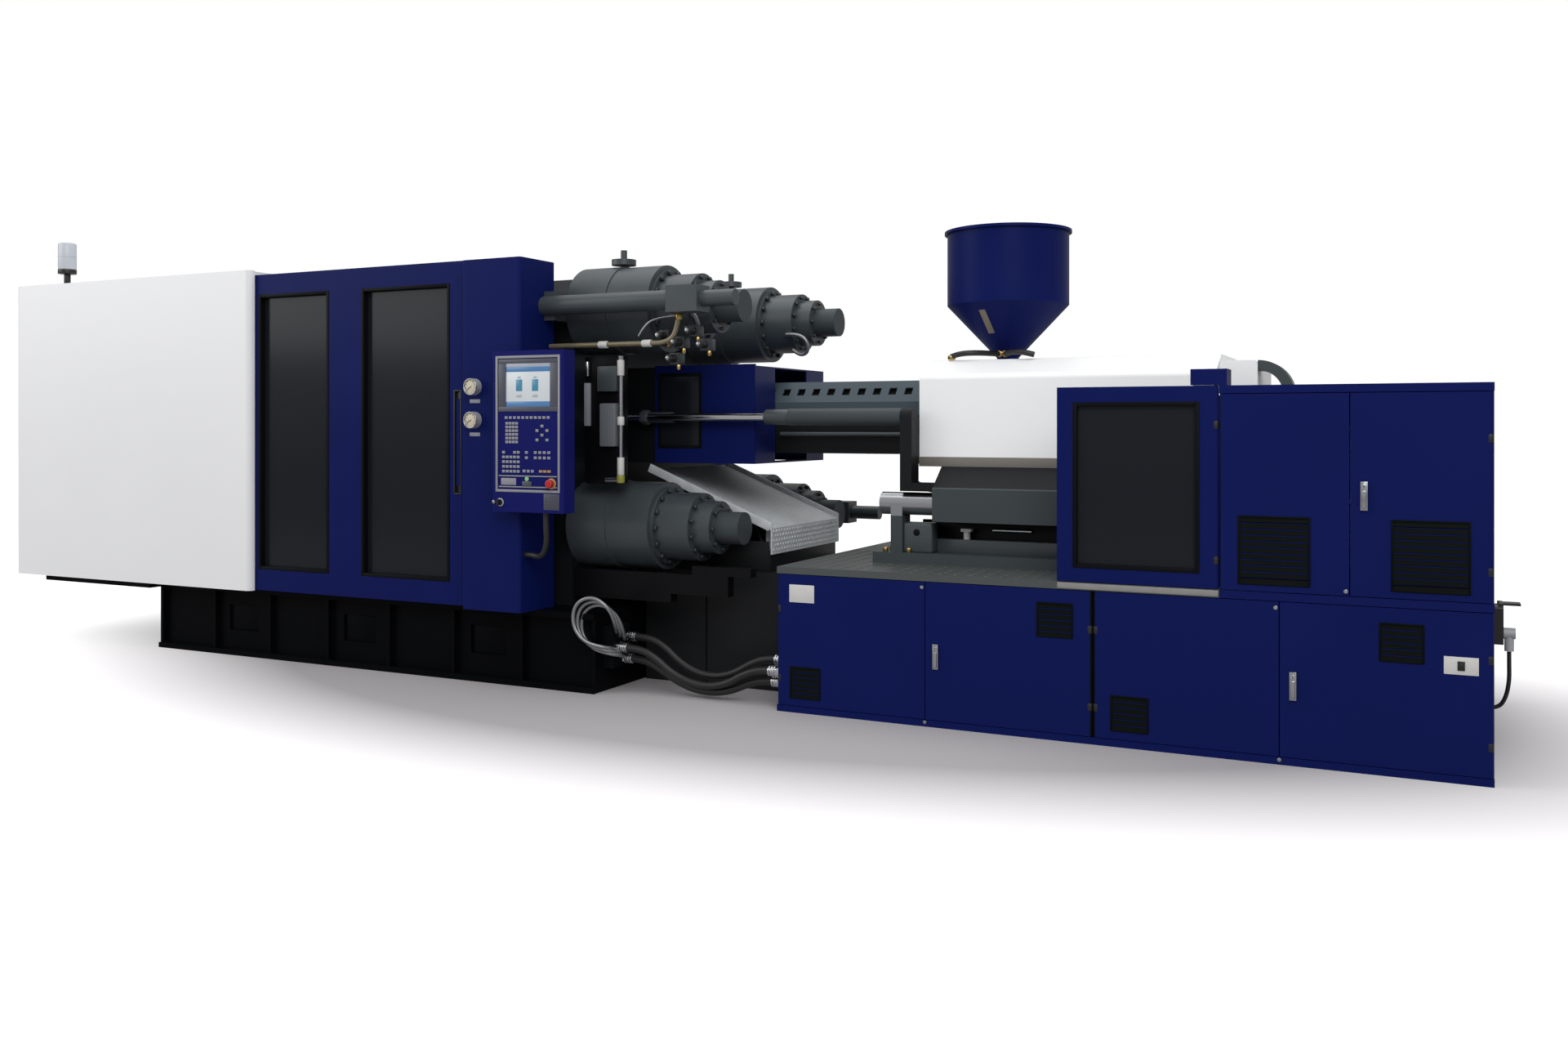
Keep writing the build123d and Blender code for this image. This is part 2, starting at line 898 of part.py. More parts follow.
moving_bottom_z = bed_height + rail_height + running_gap + shoe_width
nut_reach = nut_outer_width + nut_stroke
with BuildPart() as moving_platen:
    with BuildSketch(Plane.YZ.offset(moving_back_x)):
        with BuildLine():
            Polyline(*[(y, axis_height + z) for y, z in platen_points], close=True)
        make_face()
    extrude(amount=moving_thickness)
    for side in (-1, 1):
        block(
            (moving_back_x, moving_face_x),
            side_limits(side, *leg_y),
            (moving_bottom_z, platen_bottom_z + platen_corner),
        )
    for y, z in tie_places:
        bar_x((moving_back_x - boss_length, moving_back_x), y, z, boss_diameter)
    for y, z in tie_places:
        bar_x(
            (moving_back_x - boss_length - overrun, moving_face_x + overrun),
            y,
            z,
            tie_hole,
            mode=Mode.SUBTRACT,
        )
    for y, z in bolt_places:
        bar_x(
            (moving_face_x - mould_bolt_depth, moving_face_x + overrun),
            y,
            z,
            mould_bolt,
            mode=Mode.SUBTRACT,
        )
    shoe_reach = (shoe_length - moving_thickness) / 2
    for side in (-1, 1):
        block(
            (moving_back_x - shoe_reach, moving_face_x + shoe_reach),
            side_limits(side, rail_half_spacing - shoe_width / 2, rail_half_spacing + shoe_width / 2),
            (bed_height + rail_height + running_gap, moving_bottom_z),
        )
    for y, z in tie_places:
        for level in (-1, 1):
            plate_z = sorted(
                (z + level * (nut_half_height + running_gap), z + level * (nut_half_height + nut_plate))
            )
            block((nut_left_x, moving_back_x), (y - nut_reach, y + nut_reach), plate_z)
    bar_x(
        (moving_back_x - ejector_cylinder_length, moving_back_x),
        0,
        axis_height,
        ejector_cylinder_diameter,
    )
    bar_x(
        (moving_back_x - ejector_cylinder_length + nut_plate, moving_face_x + overrun),
        0,
        axis_height,
        ejector_bore,
        mode=Mode.SUBTRACT,
    )
save(moving_platen, "moving_platen")

locked_left_x = nut_left_x + platen_travel
bar_radius = tie_diameter / 2
piston_right_x = piston_left_x + piston_length
bar_end_x = ring_right_x + stub_length


def tooth_points(left, radius, count):
    """Saw line of the lock grooves, starting at one X with the crests on one radius."""
    points = []
    for step in range(count):
        points.append((left + step * groove_pitch, radius))
        points.append((left + (step + 1 / 2) * groove_pitch, radius - groove_depth))
    points.append((left + count * groove_pitch, radius))
    return points


bar_profile = [
    (tail_end_x, 0),
    (tail_end_x, tail_diameter / 2),
    (tail_end_x + tail_length, tail_diameter / 2),
    (tail_end_x + tail_length, bar_radius),
    *tooth_points(locked_left_x - groove_pitch, bar_radius, groove_count + 1),
    (piston_left_x, bar_radius),
    (piston_left_x, piston_diameter / 2),
    (piston_right_x, piston_diameter / 2),
    (piston_right_x, bar_radius),
    (bar_end_x, bar_radius),
    (bar_end_x, 0),
]
with BuildPart() as tie_bars:
    for y, z in tie_places:
        with BuildSketch(Plane(origin=(0, y, z), x_dir=(1, 0, 0), z_dir=(0, -1, 0))):
            with BuildLine():
                Polyline(*bar_profile, close=True)
            make_face()
        revolve(axis=Axis((0, y, z), (1, 0, 0)))
save(tie_bars, "tie_bars")

chamber_right_x = stationary_back_x + chamber_length
cylinder_profile = [
    (stationary_back_x, chamber_diameter / 2),
    (stationary_back_x, cylinder_band / 2),
    (stationary_back_x + cylinder_band_length, cylinder_band / 2),
    (stationary_back_x + cylinder_band_length, cylinder_diameter / 2),
    (cylinder_right_x - neck_groove_width, cylinder_diameter / 2),
    (cylinder_right_x - neck_groove_width, neck_groove_diameter / 2),
    (cylinder_right_x, neck_groove_diameter / 2),
    (cylinder_right_x, cap_diameter / 2),
    (cap_right_x, cap_diameter / 2),
    (cap_right_x, ring_diameter / 2),
    (ring_right_x, ring_diameter / 2),
    (ring_right_x, tie_hole / 2),
    (chamber_right_x, tie_hole / 2),
    (chamber_right_x, chamber_diameter / 2),
]
vent_bottom_z = axis_height + tie_z + cylinder_band / 2 - overrun
with BuildPart() as clamp_cylinders:
    for y, z in tie_places:
        with BuildSketch(Plane(origin=(0, y, z), x_dir=(1, 0, 0), z_dir=(0, -1, 0))):
            with BuildLine():
                Polyline(*cylinder_profile, close=True)
            make_face()
        revolve(axis=Axis((0, y, z), (1, 0, 0)))
    for y in (-tie_y, tie_y):
        with BuildSketch(Plane(origin=(vent_x, y, vent_bottom_z), x_dir=(1, 0, 0), z_dir=(0, -1, 0))):
            with BuildLine():
                Polyline(
                    (0, 0),
                    (vent_stem_diameter / 2, 0),
                    (vent_stem_diameter / 2, vent_collar_height),
                    (vent_diameter / 2, vent_collar_height),
                    (vent_diameter / 2, vent_collar_height + vent_height),
                    (vent_stem_diameter / 2, vent_collar_height + vent_height),
                    (vent_stem_diameter / 2, vent_collar_height + vent_height + vent_stem_height),
                    (0, vent_collar_height + vent_height + vent_stem_height),
                    close=True,
                )
            make_face()
        revolve(axis=Axis((vent_x, y, vent_bottom_z), (0, 0, 1)))
save(clamp_cylinders, "clamp_cylinders")

# Half nuts: each stands open beside its bar, with a toothed half bore that fits the grooves
nut_bore = [
    (nut_left_x - overrun, 0),
    (nut_left_x - overrun, bar_radius + running_gap),
    *tooth_points(nut_left_x, bar_radius + running_gap, groove_count),
    (nut_right_x + overrun, bar_radius + running_gap),
    (nut_right_x + overrun, 0),
]
for name, side in (("near", -1), ("far", 1)):
    with BuildPart() as nuts:
        for y, z in tie_places:
            middle_y = y + side * nut_stroke
            block(
                (nut_left_x, nut_right_x),
                sorted((middle_y + side * nut_split, middle_y + side * nut_outer_width)),
                (z - nut_half_height, z + nut_half_height),
            )
            with BuildSketch(Plane(origin=(0, middle_y, z), x_dir=(1, 0, 0), z_dir=(0, -1, 0))):
                with BuildLine():
                    Polyline(*nut_bore, close=True)
                make_face()
            revolve(axis=Axis((0, middle_y, z), (1, 0, 0)), mode=Mode.SUBTRACT)
    save(nuts, f"lock_nuts_{name}")



# Ejector plate, its rod runs in the cylinder on the back of the moving platen
with BuildPart() as ejector_plate:
    bar_x(
        (moving_back_x - ejector_travel / 2, moving_face_x + running_gap),
        0,
        axis_height,
        ejector_rod_diameter,
    )
    block(
        (moving_face_x + running_gap, moving_face_x + running_gap + ejector_plate_thickness),
        (-ejector_plate_size / 2, ejector_plate_size / 2),
        (axis_height - ejector_plate_size / 2, axis_height + ejector_plate_size / 2),
    )
save(ejector_plate, "ejector_plate")


# Traverse cylinders: front upper and rear lower, rods fixed to the moving platen
tube_left_x = column_right_x
with BuildPart() as traverse_cylinders:
    for side in (-1, 1):
        level = axis_height - side * traverse_rise
        bar_x((tube_left_x, traverse_right_x), side * traverse_y, level, traverse_tube)
        block(
            (tube_left_x, tube_left_x + traverse_lug_length),
            side_limits(side, platen_half_width, traverse_y),
            (level - traverse_lug_height / 2, level + traverse_lug_height / 2),
        )
        block(
            (traverse_right_x, traverse_right_x + traverse_block_length),
            side_limits(side, traverse_y - traverse_block / 2, traverse_y + traverse_block / 2),
            (level - traverse_block / 2, level + traverse_block / 2),
        )
        bar_x(
            (traverse_right_x, traverse_right_x + traverse_block_length + traverse_end_length),
            side * traverse_y,
            level,
            traverse_end_diameter,
        )
        bar_x(
            (tube_left_x - overrun, traverse_right_x + traverse_block_length + traverse_end_length / 2),
            side * traverse_y,
            level,
            traverse_rod_diameter + running_gap * 2,
            mode=Mode.SUBTRACT,
        )
save(traverse_cylinders, "traverse_cylinders")

rod_end_x = tube_left_x + traverse_lug_length
with BuildPart() as traverse_rods:
    for side in (-1, 1):
        level = axis_height - side * traverse_rise
        bar_x(
            (moving_face_x - rod_bracket_length, rod_end_x),
            side * traverse_y,
            level,
            traverse_rod_diameter,
        )
        block(
            (moving_face_x - rod_bracket_length, moving_face_x),
            side_limits(side, platen_half_width, traverse_y + traverse_rod_diameter),
            (level - rod_bracket_height / 2, level + rod_bracket_height / 2),
        )
save(traverse_rods, "traverse_rods")


# Nozzle guard on the stationary platen, with a door that slides along it
purge_inner_y = purge_half_width - purge_sheet
purge_inner_z = (purge_bottom_z + purge_sheet, purge_top_z - purge_sheet)
with BuildPart() as nozzle_guard:
    block(
        (stationary_back_x, purge_right_x),
        (-purge_half_width, purge_half_width),
        (purge_bottom_z, purge_top_z),
    )
    block(
        (stationary_back_x - overrun, purge_right_x - purge_sheet),
        (-purge_inner_y, purge_inner_y),
        purge_inner_z,
        mode=Mode.SUBTRACT,
    )
    block(
        (purge_left_x, purge_right_x - purge_sheet),
        (-purge_half_width - overrun, -purge_inner_y + overrun),
        purge_inner_z,
        mode=Mode.SUBTRACT,
    )
    block(
        (purge_right_x - purge_sheet - overrun, purge_right_x + overrun),
        (-purge_notch / 2, purge_notch / 2),
        purge_inner_z,
        mode=Mode.SUBTRACT,
    )
    block(
        (purge_left_x, purge_right_x - purge_window_margin),
        (-purge_inner_y + purge_window_margin, purge_inner_y - purge_window_margin),
        (purge_bottom_z - overrun, purge_bottom_z + purge_sheet + overrun),
        mode=Mode.SUBTRACT,
    )
save(nozzle_guard, "nozzle_guard")

purge_door_y = (-purge_half_width - running_gap - purge_sheet, -purge_half_width - running_gap)
purge_window_left_x = purge_left_x + purge_window_edge
purge_window_x = (purge_window_left_x, purge_window_left_x + purge_window_width)
purge_window_z = (purge_bottom_z + purge_window_sill, purge_top_z - purge_window_head)
with BuildPart() as purge_door:
    block(
        (purge_left_x, purge_right_x),
        purge_door_y,
        (purge_bottom_z, purge_top_z + running_gap + purge_sheet),
    )
    block(
        (purge_left_x, purge_right_x),
        (purge_door_y[0], -purge_inner_y),
        (purge_top_z + running_gap, purge_top_z + running_gap + purge_sheet),
    )
    block(
        purge_window_x,
        (purge_door_y[0] - overrun, sum(purge_door_y) / 2),
        purge_window_z,
        mode=Mode.SUBTRACT,
    )
save(purge_door, "purge_door")


# Chute for purged plastic, the housing under it and the drip tray below the front cylinder
with BuildPart() as chute:
    with BuildSketch(Plane.XZ):
        with BuildLine():
            Polyline(
                (chute_upper_x, chute_upper_z),
                (chute_lower_x, chute_lower_z),
                (chute_lower_x, chute_lower_z - chute_lip),
                (chute_lower_x - chute_floor, chute_lower_z - chute_lip),
                (chute_lower_x - chute_floor, chute_lower_z - chute_floor),
                (chute_upper_x, chute_upper_z - chute_floor),
                close=True,
            )
        make_face()
    extrude(amount=chute_half_width, both=True)
    for side in (-1, 1):
        with BuildSketch(Plane.XZ.offset(side * (chute_half_width - chute_wall / 2))):
            with BuildLine():
                Polyline(
                    (chute_upper_x, chute_upper_z - chute_floor),
                    (chute_lower_x, chute_lower_z - chute_floor),
                    (chute_lower_x, chute_lower_z + chute_wall_height),
                    (chute_upper_x, chute_upper_z + chute_wall_height),
                    close=True,
                )
            make_face()
        extrude(amount=chute_wall / 2, both=True)
    slope = (chute_upper_z - chute_lower_z) / (chute_lower_x - chute_upper_x)
    for leg_x in (chute_upper_x + chute_leg, chute_lower_x - chute_leg * 2):
        for side in (-1, 1):
            leg_top = chute_upper_z - slope * (leg_x + chute_leg - chute_upper_x) - chute_floor / 2
            block(
                (leg_x, leg_x + chute_leg),
                side_limits(side, chute_leg_y, chute_leg_y + chute_leg),
                (link_top_z, leg_top),
            )
save(chute, "purge_chute")

wall_top_z = link_top_z - link_sheet - seat_gap
with BuildPart() as link_housing:
    for left, right in (
        (link_left_x, link_split_x - door_seam),
        (link_split_x + door_seam, base_left_x),
    ):
        block((left, right), (-link_front_y, link_sheet - link_front_y), (0, wall_top_z))
    block((link_left_x, base_left_x), (link_front_y - link_sheet, link_front_y), (0, wall_top_z))
    block(
        (link_left_x, base_left_x),
        (-link_front_y, link_front_y),
        (link_top_z - link_sheet, link_top_z),
    )
save(link_housing, "link_housing")

with BuildPart() as drip_tray:
    with BuildSketch(Plane.XZ.offset(tray_y)):
        with BuildLine():
            Polyline(
                (stationary_back_x, tray_step_z),
                (tray_step_x, tray_step_z),
                (tray_step_x, tray_mid_z),
                (tray_mid_x, tray_mid_z),
                (tray_mid_x, tray_top_z),
                (tray_right_x, tray_top_z),
                (tray_right_x, tray_high_z),
                (tray_rise_x, tray_high_z),
                (tray_rise_x, tray_top_z),
                (stationary_back_x, tray_top_z),
                close=True,
            )
        make_face()
    extrude(amount=-tray_thickness)
save(drip_tray, "drip_tray")


# Injection base: carcass with sill, top plate and doors that turn on stub pins
door_front_y = -base_half_depth
door_back_y = door_thickness - base_half_depth
carcass_front_y = door_back_y + panel_gap
lower_seams = [base_left_x, seam_one_x, seam_two_x, seam_three_x, base_right_x]
lower_door_z = (base_sheet + panel_gap, base_height - panel_gap)
upper_bottom_z = base_height + top_plate
upper_door_z = (upper_bottom_z + panel_gap, cabinet_top_z - top_plate - panel_gap)
guard_z = (upper_bottom_z + panel_gap, cabinet_top_z)
cabinet_back_y = -carriage_half_width - cabinet_clearance
pivot_y = door_front_y + door_thickness / 2
doors = [
    ("door_1", lower_seams[0], lower_seams[1], "left", lower_door_z),
    ("door_2", lower_seams[1], lower_seams[2], "right", lower_door_z),
    ("door_3", lower_seams[2], lower_seams[3], "left", lower_door_z),
    ("door_4", lower_seams[3], lower_seams[4], "right", lower_door_z),
    ("door_5", cabinet_left_x, seam_upper_x, "left", upper_door_z),
    ("door_6", seam_upper_x, base_right_x, "right", upper_door_z),
]


def pivot_x(left, right, hinge):
    """X of the stub pins of a door between two seams."""
    inset = door_seam / 2 + door_thickness / 2
    return left + inset if hinge == "left" else right - inset


pin_hole = door_swing_pin + hinge_gap * 2
pin_reach = door_pin_depth + running_gap
with BuildPart() as base_carcass:
    block((base_left_x, base_right_x), (door_front_y, base_half_depth), (0, base_sheet))
    block(
        (base_left_x, base_right_x),
        (base_half_depth - base_sheet, base_half_depth),
        (base_sheet, base_height),
    )
    for left in (base_left_x, seam_two_x - base_sheet / 2, base_right_x - base_sheet):
        block(
            (left, left + base_sheet),
            (carcass_front_y, base_half_depth - base_sheet),
            (base_sheet, base_height),
        )
    for name, left, right, hinge, door_z in doors[:4]:
        upright(
            pivot_x(left, right, hinge),
            pivot_y,
            (base_sheet - pin_reach, base_sheet + overrun),
            pin_hole,
            mode=Mode.SUBTRACT,
        )
save(base_carcass, "base_carcass")

pivots_below = [pivot_x(left, right, hinge) for name, left, right, hinge, door_z in doors[:4]]
pivots_above = [pivot_x(left, right, hinge) for name, left, right, hinge, door_z in doors[4:]]
guard_pivot_x = pivot_x(guard_left_x, cabinet_left_x, "right")
with BuildPart() as plate:
    block(
        (base_left_x, base_right_x),
        (-base_half_depth, base_half_depth),
        (base_height, upper_bottom_z),
    )
    for x in pivots_below:
        upright(
            x,
            pivot_y,
            (base_height - overrun, base_height + pin_reach),
            pin_hole,
            mode=Mode.SUBTRACT,
        )
    for x in (*pivots_above, guard_pivot_x):
        upright(
            x,
            pivot_y,
            (upper_bottom_z - pin_reach, upper_bottom_z + overrun),
            pin_hole,
            mode=Mode.SUBTRACT,
        )
save(plate, "top_plate")

louvres = {
    "door_1": (louvre_one_x, louvre_low_z, lower_louvre_width, lower_louvre_height),
    "door_2": (louvre_two_x, louvre_high_z, lower_louvre_width, lower_louvre_height),
    "door_3": (louvre_three_x, louvre_low_z, lower_louvre_width, lower_louvre_height),
    "door_4": (louvre_four_x, louvre_high_z, lower_louvre_width, lower_louvre_height),
    "door_5": (louvre_five_x, louvre_upper_z, upper_louvre_width, upper_louvre_height),
    "door_6": (louvre_six_x, louvre_upper_z, upper_louvre_width, upper_louvre_height),
}
door_handles = {
    "door_2": lower_handle_z,
    "door_4": lower_handle_z,
    "door_6": upper_handle_z,
}
for name, left, right, hinge, door_z in doors:
    pin_x = pivot_x(left, right, hinge)
    free_x = right - door_seam / 2 if hinge == "left" else left + door_seam / 2
    (slot_middle_x, slot_middle_z, slot_width, louvre_height) = louvres[name]
    slot_pitch = louvre_height / louvre_slots
    with BuildPart() as door:
        block(sorted((pin_x, free_x)), (door_front_y, door_back_y), door_z)
        upright(pin_x, pivot_y, door_z, door_thickness)
        upright(
            pin_x,
            pivot_y,
            (door_z[0] - panel_gap - door_pin_depth, door_z[1] + panel_gap + door_pin_depth),
            door_swing_pin,
        )
        for step in range(louvre_slots):
            slot_z = slot_middle_z - louvre_height / 2 + (step + 1 / 2) * slot_pitch
            block(
                (slot_middle_x - slot_width / 2, slot_middle_x + slot_width / 2),
                (door_front_y - overrun, door_back_y + overrun),
                (slot_z - louvre_slot / 2, slot_z + louvre_slot / 2),
                mode=Mode.SUBTRACT,
            )
        if name in door_handles:
            handle_left_x = left + handle_inset
            block(
                (handle_left_x, handle_left_x + handle_plate_width),
                (door_front_y - handle_plate_rise, door_front_y),
                (door_handles[name] - handle_length / 2, door_handles[name] + handle_length / 2),
            )
    save(door, name)

with BuildPart() as window_guard:
    block((guard_left_x, guard_pivot_x), (door_front_y, door_back_y), guard_z)
    upright(guard_pivot_x, pivot_y, guard_z, door_thickness)
    upright(
        guard_pivot_x,
        pivot_y,
        (guard_z[0] - panel_gap - door_pin_depth, guard_z[1] + panel_gap + door_pin_depth),
        door_swing_pin,
    )
    block(
        (guard_window_left_x, guard_window_left_x + guard_window_width),
        (door_front_y - overrun, door_back_y + overrun),
        (guard_window_bottom_z, guard_window_bottom_z + guard_window_height),
        mode=Mode.SUBTRACT,
    )
save(window_guard, "window_guard")

with BuildPart() as guard_pane:
    block(
        (guard_window_left_x, guard_window_left_x + guard_window_width),
        (door_back_y - pane_thickness, door_back_y),
        (guard_window_bottom_z, guard_window_bottom_z + guard_window_height),
    )
save(guard_pane, "window_guard_pane")

# Electrical cabinet over the base, its header holds the top pin of the window guard
cabinet_back_limits = (cabinet_back_y - base_sheet, cabinet_back_y)
header_z = (cabinet_top_z + panel_gap, cabinet_top_z + header_height)
with BuildPart() as cabinet:
    block(
        (cabinet_left_x, base_right_x),
        (door_front_y, cabinet_back_y),
        (cabinet_top_z - top_plate, cabinet_top_z),
    )
    block(
        (cabinet_left_x, base_right_x),
        cabinet_back_limits,
        (upper_bottom_z, cabinet_top_z - top_plate),
    )
    for left in (cabinet_left_x, base_right_x - base_sheet):
        block(
            (left, left + base_sheet),
            (carcass_front_y, cabinet_back_y - base_sheet),
            (upper_bottom_z, cabinet_top_z - top_plate),
        )
    block(
        (cabinet_left_x - header_width, cabinet_left_x + base_sheet),
        (door_front_y, carcass_front_y + header_width),
        header_z,
    )
    block(
        (cabinet_left_x, cabinet_left_x + base_sheet),
        (door_front_y, carcass_front_y + header_width),
        (cabinet_top_z - top_plate, cabinet_top_z + header_height),
    )
    for x in pivots_above:
        lip_z = cabinet_top_z - top_plate
        upright(x, pivot_y, (lip_z - overrun, lip_z + pin_reach), pin_hole, mode=Mode.SUBTRACT)
    upright(
        guard_pivot_x,
        pivot_y,
        (header_z[0] - overrun, header_z[0] + pin_reach),
        pin_hole,
        mode=Mode.SUBTRACT,
    )
save(cabinet, "electrical_cabinet")

with BuildPart() as backplate:
    plate_y = (cabinet_back_limits[0] - backplate_thickness, cabinet_back_limits[0])
    block(
        (cabinet_left_x + base_sheet + breaker_size, base_right_x - base_sheet - breaker_size),
        plate_y,
        (upper_bottom_z + breaker_size, cabinet_top_z - top_plate - breaker_size),
    )
    for row in range(breaker_rows):
        for column_step in range(breaker_columns):
            breaker_x = cabinet_left_x + base_sheet + breaker_size * 2 + column_step * breaker_pitch
            breaker_z = upper_bottom_z + breaker_size * 2 + row * breaker_pitch
            block(
                (breaker_x, breaker_x + breaker_size),
                (plate_y[0] - breaker_depth, plate_y[0]),
                (breaker_z, breaker_z + breaker_size),
            )
save(backplate, "electrical_backplate")


# Guide rods of the carriage on brackets, and the push rods fixed to the stationary platen
guide_foot_z = upper_bottom_z + rail_pad_height
guide_right_x = base_right_x - guide_end_inset
bracket_lefts = (guide_left_x + bracket_thickness, guide_right_x - bracket_thickness * 2)
with BuildPart() as guide_rods:
    for side in (-1, 1):
        y = side * guide_half_spacing
        bar_x((guide_left_x, guide_right_x), y, guide_height, guide_diameter)
        for left in bracket_lefts:
            block(
                (left, left + bracket_thickness),
                (y - bracket_width / 2, y + bracket_width / 2),
                (guide_foot_z, guide_height),
            )
        block(
            (rail_pad_left_x, guide_right_x),
            (y - rail_pad_width / 2, y + rail_pad_width / 2),
            (upper_bottom_z, guide_foot_z),
        )
save(guide_rods, "guide_rods")

push_rod_right_x = push_cylinder_left_x + carriage_travel + push_cylinder_diameter
with BuildPart() as push_rods:
    for side in (-1, 1):
        y = side * push_cylinder_y
        bar_x((stationary_back_x, push_rod_right_x), y, axis_height, push_rod_diameter)
        bar_x(
            (stationary_back_x, stationary_back_x + push_flange),
            y,
            axis_height,
            push_rod_diameter * 2,
        )
save(push_rods, "push_rods")


# Carriage: a saddle casting on the guide rods with a wall that holds the barrel
carriage_top_z = hood_bottom_z
with BuildPart() as carriage:
    with BuildSketch(Plane.YZ.offset(carriage_left_x)):
        with BuildLine():
            Polyline(
                (-carriage_half_width, carriage_bottom_z),
                (-carriage_half_width, carriage_shoulder_z),
                (-hood_half_width, carriage_top_z),
                (hood_half_width, carriage_top_z),
                (carriage_half_width, carriage_shoulder_z),
                (carriage_half_width, carriage_bottom_z),
                (carriage_half_width - bracket_width * 2, carriage_bottom_z),
                (carriage_half_width - bracket_width * 2, carriage_shoulder_z),
                (bracket_width * 2 - carriage_half_width, carriage_shoulder_z),
                (bracket_width * 2 - carriage_half_width, carriage_bottom_z),
                close=True,
            )
        make_face()
    extrude(amount=carriage_right_x - carriage_left_x)
    block(
        (carriage_left_x, carriage_left_x + bracket_thickness),
        (-hood_half_width + hood_sheet + panel_gap, hood_half_width - hood_sheet - panel_gap),
        (carriage_top_z, hood_shoulder_z - hood_sheet * 2),
    )
    for side in (-1, 1):
        bar_x(
            (carriage_left_x - overrun, carriage_right_x + overrun),
            side * guide_half_spacing,
            guide_height,
            guide_diameter + running_gap * 2,
            mode=Mode.SUBTRACT,
        )
    bar_x(
        (carriage_left_x - overrun, carriage_left_x + bracket_thickness + overrun),
        0,
        axis_height,
        barrel_diameter + running_gap,
        mode=Mode.SUBTRACT,
    )
save(carriage, "carriage")

nozzle_left_x = barrel_front_x - nozzle_length
throat_top_z = axis_height + barrel_diameter / 2 + throat_rise
with BuildPart() as barrel:
    with BuildSketch(Plane(origin=(0, 0, axis_height), x_dir=(1, 0, 0), z_dir=(0, -1, 0))):
        with BuildLine():
            Polyline(
                (nozzle_left_x, nozzle_hole / 2),
                (nozzle_left_x, nozzle_tip / 2),
                (nozzle_left_x + nozzle_tip_length, nozzle_diameter / 2),
                (barrel_front_x, nozzle_diameter / 2),
                (barrel_front_x, barrel_diameter / 2),
                (barrel_right_x, barrel_diameter / 2),
                (barrel_right_x, barrel_bore / 2),
                (barrel_front_x + nozzle_tip_length, barrel_bore / 2),
                (barrel_front_x, nozzle_hole / 2),
                close=True,
            )
        make_face()
    revolve(axis=Axis((0, 0, axis_height), (1, 0, 0)))
    block(
        (hopper_x - throat_size / 2, hopper_x + throat_size / 2),
        (-throat_size / 2, throat_size / 2),
        (axis_height + barrel_diameter / 4 + overrun, throat_top_z),
    )
    throat_bore = hopper_neck_diameter - hopper_wall * 2
    upright(hopper_x, 0, (axis_height, throat_top_z + overrun), throat_bore, mode=Mode.SUBTRACT)
save(barrel, "barrel")

# Heater cover: folded sheet with a slanted shoulder and a row of square holes
heater_outline = [
    (-heater_half_width, heater_bottom_z),
    (-heater_half_width, heater_shoulder_z),
    (-heater_half_width / 2, heater_top_z),
    (heater_half_width / 2, heater_top_z),
    (heater_half_width, heater_shoulder_z),
    (heater_half_width, heater_bottom_z),
]
shoulder_run = heater_half_width / 2
shoulder_rise = heater_top_z - heater_shoulder_z
with BuildPart() as heater_cover:
    with BuildSketch(Plane.YZ.offset(heater_left_x)):
        with BuildLine():
            Polyline(*heater_outline, close=True)
        make_face()
    extrude(amount=heater_right_x - heater_left_x)
    open_faces = heater_cover.faces().filter_by(Axis.X) + [heater_cover.faces().sort_by(Axis.Z)[0]]
    offset(amount=-heater_sheet, openings=open_faces, kind=Kind.INTERSECTION)
    for side in (-1, 1):
        slot_plane = Plane(
            origin=(
                (heater_left_x + heater_right_x) / 2,
                side * heater_half_width * slot_middle_share,
                heater_shoulder_z + shoulder_rise / 2,
            ),
            x_dir=(1, 0, 0),
            z_dir=(0, side * shoulder_rise, shoulder_run),
        )
        with BuildSketch(slot_plane):
            with GridLocations((heater_right_x - heater_left_x) / heater_slots, 0, heater_slots, 1):
                Rectangle(heater_slot_width, heater_slot_height)
        extrude(amount=heater_sheet * 2, both=True, mode=Mode.SUBTRACT)
    for left in (heater_left_x + bracket_thickness, heater_right_x - bracket_thickness):
        with BuildSketch(Plane.YZ.offset(left)):
            with BuildLine():
                Polyline(*heater_outline, close=True)
            make_face()
            with Locations((0, axis_height)):
                Circle(barrel_diameter / 2 + running_gap, mode=Mode.SUBTRACT)
        extrude(amount=heater_sheet)
save(heater_cover, "heater_cover")

hood_outline = [
    (-hood_half_width, hood_bottom_z),
    (-hood_half_width, hood_shoulder_z),
    (-hood_ridge_half_width, hood_ridge_z),
    (hood_ridge_half_width, hood_ridge_z),
    (hood_half_width, hood_shoulder_z),
    (hood_half_width, hood_bottom_z),
]
with BuildPart() as hood:
    with BuildSketch(Plane.YZ.offset(hood_left_x)):
        with BuildLine():
            Polyline(*hood_outline, close=True)
        make_face()
    extrude(amount=hood_right_x - hood_left_x)
    for level in hood.edges().filter_by(Axis.X).group_by(Axis.Z)[1:]:
        fillet(level, hood_edge)
    offset(amount=-hood_sheet, openings=hood.faces().sort_by(Axis.Z)[0], kind=Kind.INTERSECTION)
    bar_x(
        (hood_left_x - overrun, hood_left_x + hood_sheet + overrun),
        0,
        axis_height,
        barrel_diameter + panel_gap * 2,
        mode=Mode.SUBTRACT,
    )
    upright(
        hopper_x,
        0,
        (hood_ridge_z - hood_sheet - overrun, hood_ridge_z + overrun),
        hopper_neck_diameter + panel_gap * 2,
        mode=Mode.SUBTRACT,
    )
    block(
        (hood_right_x, tail_box_right_x),
        (-tail_box_half_width, tail_box_half_width),
        (hood_bottom_z, tail_box_top_z),
    )
    fillet(hood.faces().sort_by(Axis.X)[-1].edges().sort_by(Axis.Z)[-1], hood_sheet)
save(hood, "hood")

